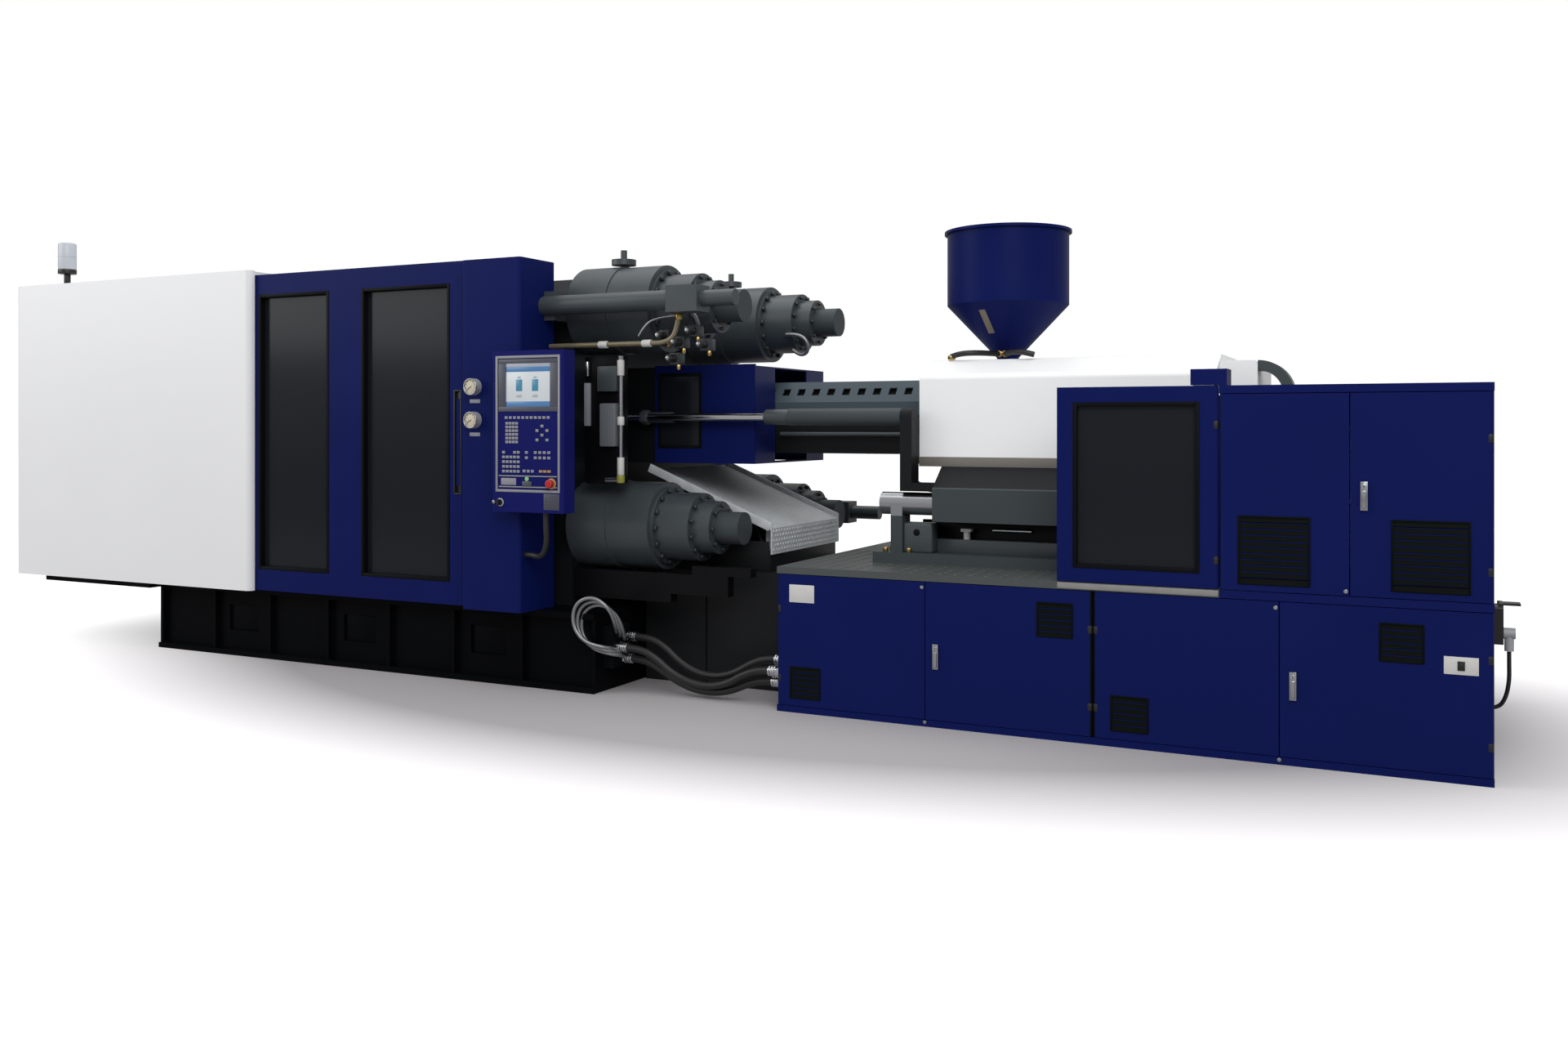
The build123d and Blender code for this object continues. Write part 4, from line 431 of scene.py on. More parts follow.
def smooth_line(name, points, radius, bend, roundness):
    """A round line on a smooth spline along control points."""
    curve = bpy.data.curves.new(name, "CURVE")
    curve.dimensions = "3D"
    spline = curve.splines.new("NURBS")
    spline.points.add(len(points) - 1)
    for point, place in zip(spline.points, points):
        point.co = (*place, 1)
    spline.order_u = 3
    spline.use_endpoint_u = True
    spline.resolution_u = bend
    curve.bevel_depth = radius
    curve.bevel_resolution = roundness
    curve.use_fill_caps = True
    line = bpy.data.objects.new(name, curve)
    show(line)
    return line


def make_mesh(line):
    """Turn a smooth line into a mesh."""
    pick([line])
    bpy.ops.object.convert(target="MESH")


def pipe(points, radius, material, bend=4):
    """A bent rigid pipe along control points, made a mesh."""
    piece = smooth_line("pipe_line", points, radius, bend, 4)
    make_mesh(piece)
    bpy.ops.object.shade_smooth_by_angle(angle=math.radians(50))
    piece.data.materials.append(material)
    return piece


def copies(piece, places, keep=False):
    """Copies of a piece, each with its own mesh, moved by the given steps. The model goes unless kept."""
    made = []
    for step in places:
        twin = piece.copy()
        twin.data = piece.data.copy()
        show(twin)
        twin.location = Vector(step)
        pick([twin])
        settle()
        made.append(twin)
    if not keep:
        bpy.data.objects.remove(piece)
    return made


def gather(name, pieces, body):
    """Join pieces into one named object that rides on a body."""
    pick(pieces)
    if len(pieces) > 1:
        bpy.ops.object.join()
    whole = bpy.context.view_layer.objects.active
    whole.name = name
    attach(whole, body)


# Hoses and cables: smooth lines on control points that follow the CAD routes
cord_bend = 6
cord_roundness = 5
hose_points = {
    "hose_upper": [
        (0.281, -0.800, 0.270), (0.381, -0.800, 0.270), (0.474, -0.804, 0.232),
        (0.558, -0.808, 0.164), (0.658, -0.812, 0.118), (0.768, -0.814, 0.106),
        (0.874, -0.812, 0.132), (0.958, -0.808, 0.184), (1.042, -0.803, 0.217),
        (1.119, -0.803, 0.217),
    ],
    "hose_middle": [
        (0.281, -0.880, 0.225), (0.377, -0.880, 0.225), (0.468, -0.875, 0.182),
        (0.552, -0.870, 0.117), (0.655, -0.867, 0.076), (0.764, -0.866, 0.066),
        (0.868, -0.868, 0.092), (0.952, -0.871, 0.142), (1.042, -0.873, 0.174),
        (1.119, -0.873, 0.174),
    ],
    "hose_lower": [
        (0.281, -0.835, 0.165), (0.374, -0.835, 0.165), (0.466, -0.840, 0.127),
        (0.556, -0.843, 0.078), (0.660, -0.844, 0.042), (0.768, -0.843, 0.034),
        (0.872, -0.841, 0.052), (0.960, -0.838, 0.092), (1.042, -0.836, 0.117),
        (1.119, -0.836, 0.117),
    ],
}
conduit_points = [
    (0.020, -1.184, 0.918), (0.020, -1.184, 0.852), (0.014, -1.168, 0.772),
    (-0.022, -1.142, 0.712), (-0.078, -1.106, 0.686), (-0.130, -1.090, 0.694),
    (-0.180, -1.090, 0.694),
]
cable_points = [
    (4.212, -0.550, 0.455), (4.212, -0.550, 0.405), (4.213, -0.546, 0.340),
    (4.203, -0.538, 0.272), (4.178, -0.528, 0.222), (4.144, -0.528, 0.222),
]


def centre_line(points):
    """Points along the smooth line that a cord follows."""
    core = smooth_line("core_line", points, 0, cord_bend, cord_roundness)
    make_mesh(core)
    path = [vertex.co.copy() for vertex in core.data.vertices]
    bpy.data.objects.remove(core)
    return path


def lay_cord(name, points, diameter, bends=None):
    """A hose or cable in place of its CAD solid, riding on the frame. One that joins two bodies is made a
    mesh instead, on no body; nothing here makes it bend with them.
    """
    piece = smooth_line(f"{name}_tube", points, diameter / 2, cord_bend, cord_roundness)
    piece.data.materials.append(black_rubber)
    path = None
    if bends:
        path = centre_line(points)
        make_mesh(piece)
        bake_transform(piece)
    else:
        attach(piece, "frame")
    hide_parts(name)


hose_lengths = {"hose_upper": 0.893, "hose_middle": 0.889, "hose_lower": 0.870}
for name, length in hose_lengths.items():
    lay_cord(name, hose_points[name], 0.038)
lay_cord("panel_conduit", conduit_points, 0.030, bends=("control_panel", "frame"))
lay_cord("end_cable", cable_points, 0.016)


# Control panel: pale frame, screen, keys, speaker plate and lamp, all on the swinging housing
panel_y = -1.230
bezel_left, bezel_right = -0.2415, 0.1225
bezel_low, bezel_high = 1.030, 1.680
screen_left, screen_right = -0.1945, 0.0755
screen_low, screen_high = 1.440, 1.655
field_y = panel_y + 0.003
rim = 0.013


def panel_frame():
    """Pale rim round the bezel, the grey field round the screen and two pale lines below the keys."""
    back = field_y + 0.001
    outline = (bezel_left - rim, bezel_right + rim, bezel_low - rim, bezel_high + rim)
    pieces = rim_plates(*outline, panel_y - 0.002, back, rim, bezel_pale)
    inset = 0.004
    left, right = bezel_left + inset, bezel_right - inset
    fields = (
        (left, right, screen_high, bezel_high - inset),
        (left, right, 1.416, screen_low),
        (left, screen_left, screen_low, screen_high),
        (screen_right, right, screen_low, screen_high),
    )
    for start, end, low, high in fields:
        pieces.append(plate((start, panel_y, low), (end, back, high), bezel_grey))
    inset = 0.006
    for low in (1.040, 1.094):
        start, end = (bezel_left + inset, panel_y, low), (bezel_right - inset, back, low + 0.006)
        pieces.append(plate(start, end, bezel_pale))
    gather("panel_frame", pieces, "control_panel")


def panel_screen():
    """A lit screen with a plain drawing of two bars and blank bands."""
    glass_y = panel_y + 0.005
    glass = ((screen_left, glass_y, screen_low), (screen_right, glass_y + 0.002, screen_high))
    pieces = [plate(*glass, screen_white, 0.0006)]
    drawn = [
        (screen_left, screen_right, screen_high - 0.042, screen_high - 0.018, 0.0008, screen_blue),
        (screen_left, screen_right, screen_high - 0.018, screen_high, 0.0008, screen_grey),
        (screen_left, screen_right, screen_low, screen_low + 0.026, 0.0008, screen_blue),
    ]
    for share in (0.30, 0.66):
        x = screen_left + (screen_right - screen_left) * share
        drawn.append((x - 0.019, x + 0.019, 1.517, 1.575, 0.0006, screen_teal))
        drawn.append((x - 0.010, x + 0.010, 1.580, 1.590, 0.0006, screen_grey))
        drawn.append((x - 0.016, x + 0.016, 1.486, 1.500, 0.0006, screen_grey))
    for left, right, low, high, rise, material in drawn:
        pieces.append(plate((left, glass_y - rise, low), (right, glass_y, high), material, 0.0002))
    gather("panel_screen", pieces, "control_panel")


def key_grid(left, top, columns, rows, across, down=0, skip=()):
    """Places of a block of keys, without the rows and columns skipped."""
    return [
        (left + column * across, 0, top - row * down)
        for row in range(rows)
        for column in range(columns)
        if (row, column) not in skip
    ]


def panel_keys():
    """Rows of small keys below the screen, one key modelled and copied."""
    key_y = field_y - 0.003
    half, half_tall, edge = 0.0085, 0.0068, 0.0015
    low, high = (-half, key_y, -half_tall), (half, field_y, half_tall)
    places = key_grid(-0.190, 1.386, 11, 1, 0.0255)
    places += key_grid(-0.186, 1.358, 4, 6, 0.0200, 0.0185)
    places += key_grid(-0.206, 1.214, 5, 5, 0.0225, 0.0235, ((0, 1), (0, 2)))
    places += key_grid(-0.066, 1.214, 6, 2, 0.0270, 0.0260, ((0, 1), (1, 1)))
    places += key_grid(-0.080, 1.122, 3, 1, 0.0250)
    pieces = copies(plate(low, high, key_grey, edge), places)
    pale = [(0.028, 0, 1.344), (-0.002, 0, 1.322), (0.058, 0, 1.322)]
    pale += [(0.028, 0, 1.300), (-0.002, 0, 1.276), (0.058, 0, 1.276)]
    pieces += copies(plate(low, high, bezel_pale, edge), pale)
    for x in (0.020, 0.045, 0.070):
        pieces.append(plate((x - 0.01, key_y, 1.116), (x + 0.01, field_y, 1.128), key_tan, edge))
    gather("panel_keys", pieces, "control_panel")


def panel_extras():
    """Green lamp, flap, key switch, collars and the perforated plate at the foot of the panel."""
    pieces = [
        plate((-0.090, panel_y - 0.003, 1.048), (-0.034, field_y, 1.072), bezel_grey, 0.003),
        plate((-0.222, panel_y + 0.001, 1.052), (-0.130, field_y, 1.086), key_grey, 0.001),
        plate((0.040, panel_y - 0.002, 0.934), (0.132, panel_y + 0.001, 1.012), bezel_grey),
    ]
    studs = (
        (-0.062, 1.083, field_y, 0.004, 0.011, green_lamp),
        (-0.262, 0.966, panel_y + 0.002, 0.008, 0.009, bright_steel),
        (-0.225, 0.965, panel_y + 0.002, 0.0025, 0.021, grey_plastic),
        (0.085, 1.062, field_y, 0.001, 0.027, key_tan),
    )
    for x, z, back, rise, radius, material in studs:
        pieces.append(bar((x, back, z), (x, panel_y - rise, z), radius, material))
    dot = bar((0, panel_y - 0.0018, 0), (0, panel_y - 0.0026, 0), 0.0024, black_plastic, 0.0003, 8)
    pieces += copies(dot, key_grid(0.048, 1.0036, 10, 8, 0.0085, 0.0088))
    gather("panel_extras", pieces, "control_panel")


panel_frame()
panel_screen()
panel_keys()
panel_extras()


def gauge_dials():
    """Cream dials with ticks, a needle and a bright rim on both gauges, and a blank plate below each."""
    x, face_y = -0.466, -1.170
    tick_y, needle_y = face_y + 0.0022, face_y + 0.0016
    pieces = []
    for z in (1.545, 1.375):
        pieces.append(ring((x, face_y, z), (0, 1, 0), 0.040, 0.007, bright_steel))
        pieces.append(bar((x, face_y + 0.006, z), (x, face_y + 0.003, z), 0.037, dial_cream, 0.0008, 40))
        for step in range(9):
            angle = math.radians(225 - step * 33.75)
            ends = [(x + r * math.cos(angle), tick_y, z + r * math.sin(angle)) for r in (0.027, 0.033)]
            pieces.append(bar(*ends, 0.0012, black_plastic, 0.0003, 6))
        hub, tip = (x + 0.004, needle_y, z + 0.003), (x - 0.022, needle_y, z - 0.016)
        pieces.append(bar(hub, tip, 0.0016, black_plastic, 0.0003, 6))
        pieces.append(bar((x, face_y + 0.003, z), (x, face_y, z), 0.005, bright_steel, 0.001, 12))
        pieces.append(plate((-0.499, -1.1325, z - 0.083), (-0.433, -1.1295, z - 0.064), key_grey, 0.001))
    gather("gauge_dials", pieces, "frame")


gauge_dials()


# Gates, purge door, window guard and signal lamp
gate_y = -1.056
window_spans = ((-2.085, -1.555), (-1.305, -0.700))
window_low, window_high = 0.530, 2.090


def window_gasket(left, right, low, high, face_y, depth, side):
    """A black rubber frame round a window, over its edge and a little proud of the sheet."""
    lap, inner = 0.006, 0.012
    near, far = sorted((face_y + side * 0.0025, face_y - side * depth))
    return rim_plates(left - lap, right + lap, low - lap, high + lap, near, far, lap + inner, gasket_black)


def gate_trim(name, face_y, side, body):
    """Gaskets round the windows and a lined pull on one gate."""
    pieces = []
    for left, right in window_spans:
        pieces += window_gasket(left, right, window_low, window_high, face_y, 0.030, side)
    near, far = sorted((face_y - side * 0.013, face_y - side * 0.0115))
    pieces.append(plate((-0.664, near, 0.990), (-0.622, far, 1.530), black_plastic, 0.0004))
    near, far = sorted((face_y - side * 0.012, face_y + side * 0.002))
    pieces += rim_plates(-0.668, -0.618, 0.986, 1.534, near, far, 0.008, black_rubber)
    gather(name, pieces, body)


gate_trim("gate_front_trim", gate_y, -1, "gate_front")
gate_trim("gate_rear_trim", -gate_y, 1, "gate_rear")

# Dark pane and gasket in the purge door, then the rubber round the window guard's pane
purge_left, purge_right, purge_low, purge_high = 0.215, 0.473, 1.230, 1.620
purge_trim = window_gasket(purge_left, purge_right, purge_low, purge_high, -0.4385, 0.006, -1)
purge_pane = ((purge_left, -0.4375, purge_low), (purge_right, -0.4345, purge_high))
purge_trim.append(plate(*purge_pane, smoked_window, 0.0006))
gather("purge_window", purge_trim, "purge_door")
guard_gasket = window_gasket(2.573, 3.081, 0.750, 1.440, -0.930, 0.012, -1)
gather("window_guard_trim", guard_gasket, "window_guard")


def beacon():
    """Lens with a rounded top, black foot sleeve and stem collar of the signal lamp."""
    x, y = -3.940, -0.930
    pieces = [
        bar((x, y, 2.345), (x, y, 2.5195), 0.0535, lamp_lens, 0.010, 40),
        bar((x, y, 2.2365), (x, y, 2.256), 0.0425, black_plastic, 0.003, 32),
        bar((x, y, 2.256), (x, y, 2.330), 0.0195, black_plastic, 0.002, 24),
        bar((x, y, 2.322), (x, y, 2.350), 0.0545, black_plastic, 0.003, 40),
        ring((x, y, 2.430), (0, 0, 1), 0.0530, 0.0016, bezel_grey),
    ]
    gather("signal_beacon", pieces, "frame")


beacon()


# Injection base: louvres, handles, hinges, screws and small plates
door_front = -0.930
louvres = {
    "door_1": (1.312, 0.142, 0.158, 0.150),
    "door_2": (2.490, 0.515, 0.158, 0.150),
    "door_3": (2.805, 0.142, 0.158, 0.150),
    "door_4": (3.831, 0.515, 0.158, 0.150),
    "door_5": (3.371, 0.848, 0.272, 0.276),
    "door_6": (3.930, 0.848, 0.272, 0.276),
}
pulls = {"door_2": (1.955, 0.317), "door_4": (3.443, 0.317), "door_6": (3.700, 1.075)}


def louvre_panel(name, body, x, z, wide, high, side=-1):
    """A dark grille on a door or on the back sheet: a rim and sloped blades from one blade."""
    pitch, edge = 0.0245, 0.008
    count = int(high / pitch)
    face = -side * door_front
    near, far = sorted((face + side * 0.004, face - side * 0.002))
    outline = (x - wide / 2, x + wide / 2, z - high / 2, z + high / 2)
    pieces = rim_plates(*outline, near, far, edge, louvre_black)
    size = (wide - 2 * edge, 0.0022, pitch * 0.8)
    slope = (math.radians(9 * side), 0, 0)
    blade = slab((x, face + side * 0.001, 0), size, louvre_black, 0.0006, 1, slope)
    start = z - (count - 1) / 2 * pitch
    pieces += copies(blade, [(0, 0, start + step * pitch) for step in range(count)])
    gather(name, pieces, body)


def door_pull(body, x, z):
    """A bright swing-handle lock: backplate, lever and a key barrel with its slot."""
    face = door_front - 0.008
    back = ((x - 0.013, face - 0.0012, z - 0.056), (x + 0.013, face + 0.001, z + 0.056))
    slot_low, slot_high = (x - 0.0015, face - 0.0056, z + 0.032), (x + 0.0015, face - 0.0046, z + 0.042)
    pieces = [
        plate(*back, bright_steel, 0.0008),
        plate((x - 0.0085, face - 0.010, z - 0.048), (x + 0.0085, face, z + 0.022), bright_steel, 0.004, 3),
        bar((x, face + 0.001, z + 0.037), (x, face - 0.005, z + 0.037), 0.0085, chrome_rod, 0.001, 20),
        plate(slot_low, slot_high, black_plastic, 0.0003),
    ]
    gather(f"{body}_pull", pieces, body)


for door, (x, z, wide, high) in louvres.items():
    louvre_panel(f"{door}_louvre", door, x, z, wide, high)
for number, x in enumerate((1.535, 2.278, 3.022), 1):
    louvre_panel(f"rear_louvre_{number}", "frame", x, 0.470, 0.272, 0.200, 1)
for door, (x, z) in pulls.items():
    door_pull(door, x, z)


def seam_screws():
    """Bright screw heads at the ends of the door seams, one modelled and copied to the rail and the doors."""
    sites = {
        "frame": [(1.904, 0.020), (3.392, 0.020)],
        "door_1": [(1.890, 0.623)],
        "door_3": [(3.378, 0.623)],
        "door_5": [(3.635, 0.702)],
    }
    screw = bar((0, door_front + 0.002, 0), (0, door_front - 0.004, 0), 0.0085, bright_steel, 0.002, 14)
    for body, places in sites.items():
        name = "base_screws" if body == "frame" else f"{body}_screws"
        gather(name, copies(screw, [(x, 0, z) for x, z in places], True), body)
    bpy.data.objects.remove(screw)


def door_hinges():
    """Black hinge knuckles round each door's own pivot, one modelled and copied."""
    sites = {
        "door_1": (1.1795, (0.157, 0.484)),
        "door_2": (2.6375, (0.157, 0.484)),
        "door_3": (2.6665, (0.157, 0.484)),
        "door_4": (4.1295, (0.146, 0.471)),
        "door_6": (4.1295, (0.800, 1.300)),
        "window_guard": (3.1485, (0.800, 1.350)),
    }
    pivot_y = -0.9175
    knuckle = bar((0, pivot_y, -0.016), (0, pivot_y, 0.016), 0.0137, black_plastic, 0.002, 32)
    for body, (x, heights) in sites.items():
        gather(f"{body}_hinges", copies(knuckle, [(x, 0, z) for z in heights], True), body)
    bpy.data.objects.remove(knuckle)


seam_screws()
door_hinges()

# Dark seams between the sheets on the back of the base, at the same places as the doors' seams
base_back = -door_front
seam = plate((-0.002, base_back - 0.0005, 0.040), (0.002, base_back + 0.0008, 0.640), gasket_black, 0.0003)
gather("rear_seams", copies(seam, [(x, 0, 0) for x in (1.904, 2.652, 3.392)]), "frame")

# Pale plate with a black turn switch on the last lower door
switch_y = door_front - 0.0025
turn_start, turn_end = [(4.0335, switch_y - depth, 0.4445) for depth in (0.004, 0.010)]
switch = [
    plate((3.975, switch_y, 0.411), (4.092, door_front + 0.0005, 0.478), pipe_band, 0.001),
    plate((4.021, switch_y - 0.004, 0.427), (4.046, switch_y + 0.001, 0.462), black_plastic),
    bar(turn_start, turn_end, 0.010, black_plastic, 0.002, 20),
]
gather("door_4_switch", switch, "door_4")


# Clamp cylinders: bolt circles, oil fittings and rigid pipes
cylinder_axes = [(y, z) for y in (-0.600, 0.600) for z in (0.825, 1.955)]


def bolt_circle(x, radius, count, size, first):
    """Hexagon bolt heads on a circle about the X axis, one modelled and spun round in copies."""
    tall = 0.018
    start_clean()
    bpy.ops.mesh.primitive_cylinder_add(
        vertices=6, radius=size, depth=tall, location=(x + tall / 2, 0, 0), rotation=(0, math.radians(90), 0)
    )
    head = bpy.context.object
    soften(0.0015, 1)
    head.data.materials.append(casting_dark)
    angles = [math.radians(first + step * 360 / count) for step in range(count)]
    return copies(head, [(0, radius * math.cos(angle), radius * math.sin(angle)) for angle in angles])


def clamp_bolts():
    """Bolt circles on the shoulder, cap and end ring of all four clamp cylinders."""
    start = bolt_circle(0.395, 0.188, 14, 0.014, 0) + bolt_circle(0.585, 0.155, 12, 0.011, 15)
    start += bolt_circle(0.685, 0.112, 8, 0.010, 0)
    start.append(ring((0.685, 0, 0), (1, 0, 0), 0.0900, 0.006, casting_dark))
    pick(start)
    bpy.ops.object.join()
    pieces = copies(bpy.context.object, [(0, y, z) for y, z in cylinder_axes])
    gather("clamp_bolts", pieces, "frame")


clamp_bolts()


def oil_pipes():
    """Rigid oil pipes with pale clamps, elbows and junction boxes beside the clamp cylinders."""
    top_z, top_y = 1.757, -0.905
    down_x, down_y = 0.248, -0.865
    top_line = [(x, top_y, top_z) for x in (-0.16, 0.12, 0.40, 0.54)]
    top_line += [(0.60, top_y, 1.800), (0.612, top_y, 1.885)]
    down_line = [(down_x, down_y, z) for z in (1.700, 1.400, 1.090, 1.075)]
    down_line += [(down_x - 0.02, down_y, 1.070), (0.160, down_y, 1.070)]
    thin_line = [(0.38, -0.905, 1.795), (0.42, -0.915, 1.850), (0.50, -0.915, 1.885), (0.59, -0.905, 1.890)]
    pieces = [
        pipe(top_line, 0.013, pipe_tan),
        bar((0.612, top_y, 1.868), (0.612, top_y, 1.899), 0.019, brass_bolt, 0.003, 6),
        pipe(down_line, 0.013, bright_steel),
        bar((down_x, down_y, 1.055), (down_x, down_y, 1.095), 0.021, olive_joint, 0.004, 16),
        pipe(thin_line, 0.005, bright_steel, 6),
        plate((0.134, -0.890, 1.240), (0.228, -0.800, 1.460), motor_grey, 0.006),
        plate((0.112, -0.880, 1.520), (0.230, -0.800, 1.650), casting_paint, 0.006),
        plate((0.030, -0.875, 1.345), (0.062, -0.855, 1.565), key_grey, 0.002),
        bar((0.045, -0.865, 1.600), (0.045, -0.865, 1.675), 0.012, bright_steel, 0.002, 16),
        plate((0.020, -0.855, 1.050), (0.240, -0.782, 1.700), tray_and_shade_black, 0.006),
    ]
    for x in (0.170, 0.430):
        pieces.append(bar((x - 0.026, top_y, top_z), (x + 0.026, top_y, top_z), 0.0185, pipe_band, 0.003, 16))
    for z, half in ((1.640, 0.040), (1.370, 0.022), (1.140, 0.045)):
        low, high = (down_x, down_y, z - half), (down_x, down_y, z + half)
        pieces.append(bar(low, high, 0.0185, pipe_band, 0.003, 16))
    gather("oil_pipes", pieces, "frame")


def valve_cluster():
    """Directional valves, their coils and couplings under the upper front cylinder and traverse block."""
    coil = bar((0, -0.858, 0), (0, -0.918, 0), 0.020, black_plastic, 0.004, 20)
    body = plate((-0.028, -0.862, -0.030), (0.028, -0.800, 0.030), casting_dark, 0.004)
    nut = bar((0, -0.918, 0), (0, -0.928, 0), 0.011, bright_steel, 0.002, 6)
    stub = bar((0.020, -0.850, -0.030), (0.020, -0.850, -0.056), 0.010, brass_bolt, 0.002, 6)
    places = [(0.500, 0, 1.795), (0.590, 0, 1.760), (0.670, 0, 1.815), (0.735, 0, 1.745), (0.560, 0, 1.680)]
    pieces = []
    for part in (coil, body, nut, stub):
        pieces += copies(part, places)
    gather("valve_cluster", pieces, "frame")


def braid_loops():
    """Braided hoses that loop between ports: at the upper cylinder ends and beside the floor manifold."""
    upper = [(0.560, 0.420, 1.880), (0.640, 0.395, 1.880), (0.705, 0.400, 1.840), (0.700, 0.420, 1.770)]
    upper += [(0.640, 0.430, 1.755), (0.590, 0.450, 1.790)]
    front = [(0.560, -0.775, 1.930), (0.620, -0.800, 1.920), (0.660, -0.790, 1.870), (0.640, -0.770, 1.810)]
    front += [(0.570, -0.760, 1.820), (0.550, -0.730, 1.850)]
    pieces = [pipe(upper, 0.011, hose_braid, 8), pipe(front, 0.011, hose_braid, 8)]
    ring_line = [(0.238, -0.890, 0.300), (0.285, -0.960, 0.330), (0.285, -1.020, 0.440)]
    ring_line += [(0.190, -1.035, 0.500), (0.085, -1.035, 0.455), (0.070, -1.035, 0.345)]
    ring_line += [(0.135, -1.030, 0.265), (0.225, -1.000, 0.240)]
    ring_line += [(0.262, -0.930, 0.225), (0.238, -0.880, 0.200)]
    for step in range(3):
        loop = [(x + 0.010 * step, y + 0.022 * step, z - 0.020 * step) for x, y, z in ring_line]
        pieces.append(pipe(loop, 0.0095, hose_braid, 8))
    gather("braid_loops", pieces, "frame")


valve_cluster()
braid_loops()
oil_pipes()


def collar_sleeves():
    """Crimped bright sleeves and hexagon nuts where the floor hoses meet their fittings."""
    ends = [(*points[0], 1) for points in hose_points.values()]
    ends += [(*points[-1], -1) for points in hose_points.values()]
    pieces = []
    for x, y, z, way in ends:
        pieces.append(bar((x - way * 0.044, y, z), (x - way * 0.016, y, z), 0.030, chrome_rod, 0.004, 6))
        for step in range(3):
            near = x - way * 0.014 + way * step * 0.013
            pieces.append(bar((near, y, z), (near + way * 0.011, y, z), 0.0265, chrome_rod, 0.003, 24))
    gather("hose_sleeves", pieces, "frame")


collar_sleeves()


# Injection unit: hopper fittings, rods, bolts, saddle, chute and bands
axis_z = 1.390
both_sides = (-0.480, 0.480)


def hopper_foot():
    """Black hoses and brass couplings round the throat under the hopper."""
    hose_z = 1.706
    left = [(1.80, -0.250, 1.690), (1.84, -0.270, 1.702), (1.92, -0.260, hose_z)]
    left += [(1.98, -0.170, hose_z), (2.00, -0.090, hose_z)]
    right = [(2.22, -0.260, 1.690), (2.18, -0.280, 1.702), (2.12, -0.250, hose_z)]
    right += [(2.05, -0.160, hose_z), (2.03, -0.090, hose_z)]
    pieces = [pipe(line, 0.014, black_rubber, 6) for line in (left, right)]
    for x in (2.00, 2.03):
        pieces.append(bar((x, -0.110, hose_z), (x, -0.070, hose_z), 0.018, brass_bolt, 0.002, 6))
    pieces.append(bar((1.80, -0.250, 1.674), (1.80, -0.250, 1.694), 0.020, brass_bolt, 0.002, 6))
    gather("hopper_hoses", pieces, "carriage")


def bracket_bolts():
    """Brass-coloured bolts on the feet of the guide rod brackets."""
    bolt = bar((0, 0, 0), (0, 0, 0.022), 0.014, brass_bolt, 0.003, 6)
    rows = (-0.525, -0.435, 0.435, 0.525)
    places = [(x, y, 0.734) for x in (1.556, 1.676, 3.874, 3.994) for y in rows]
    gather("bracket_bolts", copies(bolt, places), "frame")


# Dark plates that close the hatches in the bed's webs
hatch_plates = []
for x in (-2.3157, -1.4100, -0.5043):
    for near, far in ((-0.945, -0.940), (0.940, 0.945)):
        hatch_plates.append(plate((x - 0.123, near, 0.132), (x + 0.123, far, 0.298), bed_paint, 0.001))
gather("hatch_covers", hatch_plates, "frame")


def heater_liner():
    """Dark insulation boards behind the heater cover's slots, parallel to its slanted shoulders."""
    lean = math.atan2(0.110, 0.090)
    pieces = []
    for side in (-1, 1):
        middle, size = (1.180, side * 0.118, 1.511), (0.936, 0.100, 0.006)
        pieces.append(slab(middle, size, louvre_black, turn=(-side * lean, 0, 0)))
    gather("heater_liner", pieces, "carriage")


def push_glands():
    """Gland sleeves on the front ends of the push cylinders and a feed pipe along the heater cover."""
    sleeve = bar((0.880, 0, axis_z), (1.030, 0, axis_z), 0.040, casting_paint, 0.006, 32)
    pieces = copies(sleeve, [(0, y, 0) for y in both_sides])
    feed_y = -0.206
    feed = [(x, feed_y, 1.302) for x in (0.830, 1.200, 1.540, 1.600)]
    feed += [(1.615, feed_y, 1.280), (1.615, feed_y, 1.200)]
    pieces.append(pipe(feed, 0.011, casting_paint))
    gather("push_glands", pieces, "carriage")


def chute_dressing():
    """Bright side plate along the chute's near wall, punched pattern of its lip, dark plates of painted shade
    under it.
    """
    top = Vector((0.157, -0.433, 1.139))
    foot = Vector((0.888, -0.433, 0.842))
    run = foot - top
    slope = math.atan2(-run.z, run.x)
    tall = 0.046
    drop = Vector((math.sin(slope), 0, math.cos(slope))) * (tall / 2 - 0.002)
    pieces = [
        slab((top + foot) / 2 - drop, (run.length, 0.006, tall), galvanised, turn=(0, slope, 0)),
        plate((0.866, -0.420, 0.592), (0.874, 0.420, 0.700), shade_paint, 0.001),
        plate((0.450, -0.420, 0.592), (0.866, -0.412, 0.745), shade_paint, 0.001),
    ]
    dimple = bar((0.888, 0, 0), (0.893, 0, 0), 0.0075, galvanised, 0.0025, 10)
    places = []
    for row in range(5):
        start = -0.392 if row % 2 else -0.408
        places += [(0, start + column * 0.032, 0.702 + row * 0.024) for column in range(26)]
    pieces += copies(dimple, places)
    gather("chute_dressing", pieces, "frame")


def rod_flanges():
    """Hexagon nuts and sleeves where the push rods screw into the platen."""
    nut = bar((0, 0, 0), (0.045, 0, 0), 0.042, casting_paint, 0.004, 6)
    sleeve = bar((0.180, 0, 0), (0.330, 0, 0), 0.029, casting_paint, 0.006, 24)
    pieces = copies(nut, [(x, y, axis_z) for x in (-0.074, 0.135) for y in both_sides])
    pieces += copies(sleeve, [(0, y, axis_z) for y in both_sides])
    gather("rod_flanges", pieces, "frame")


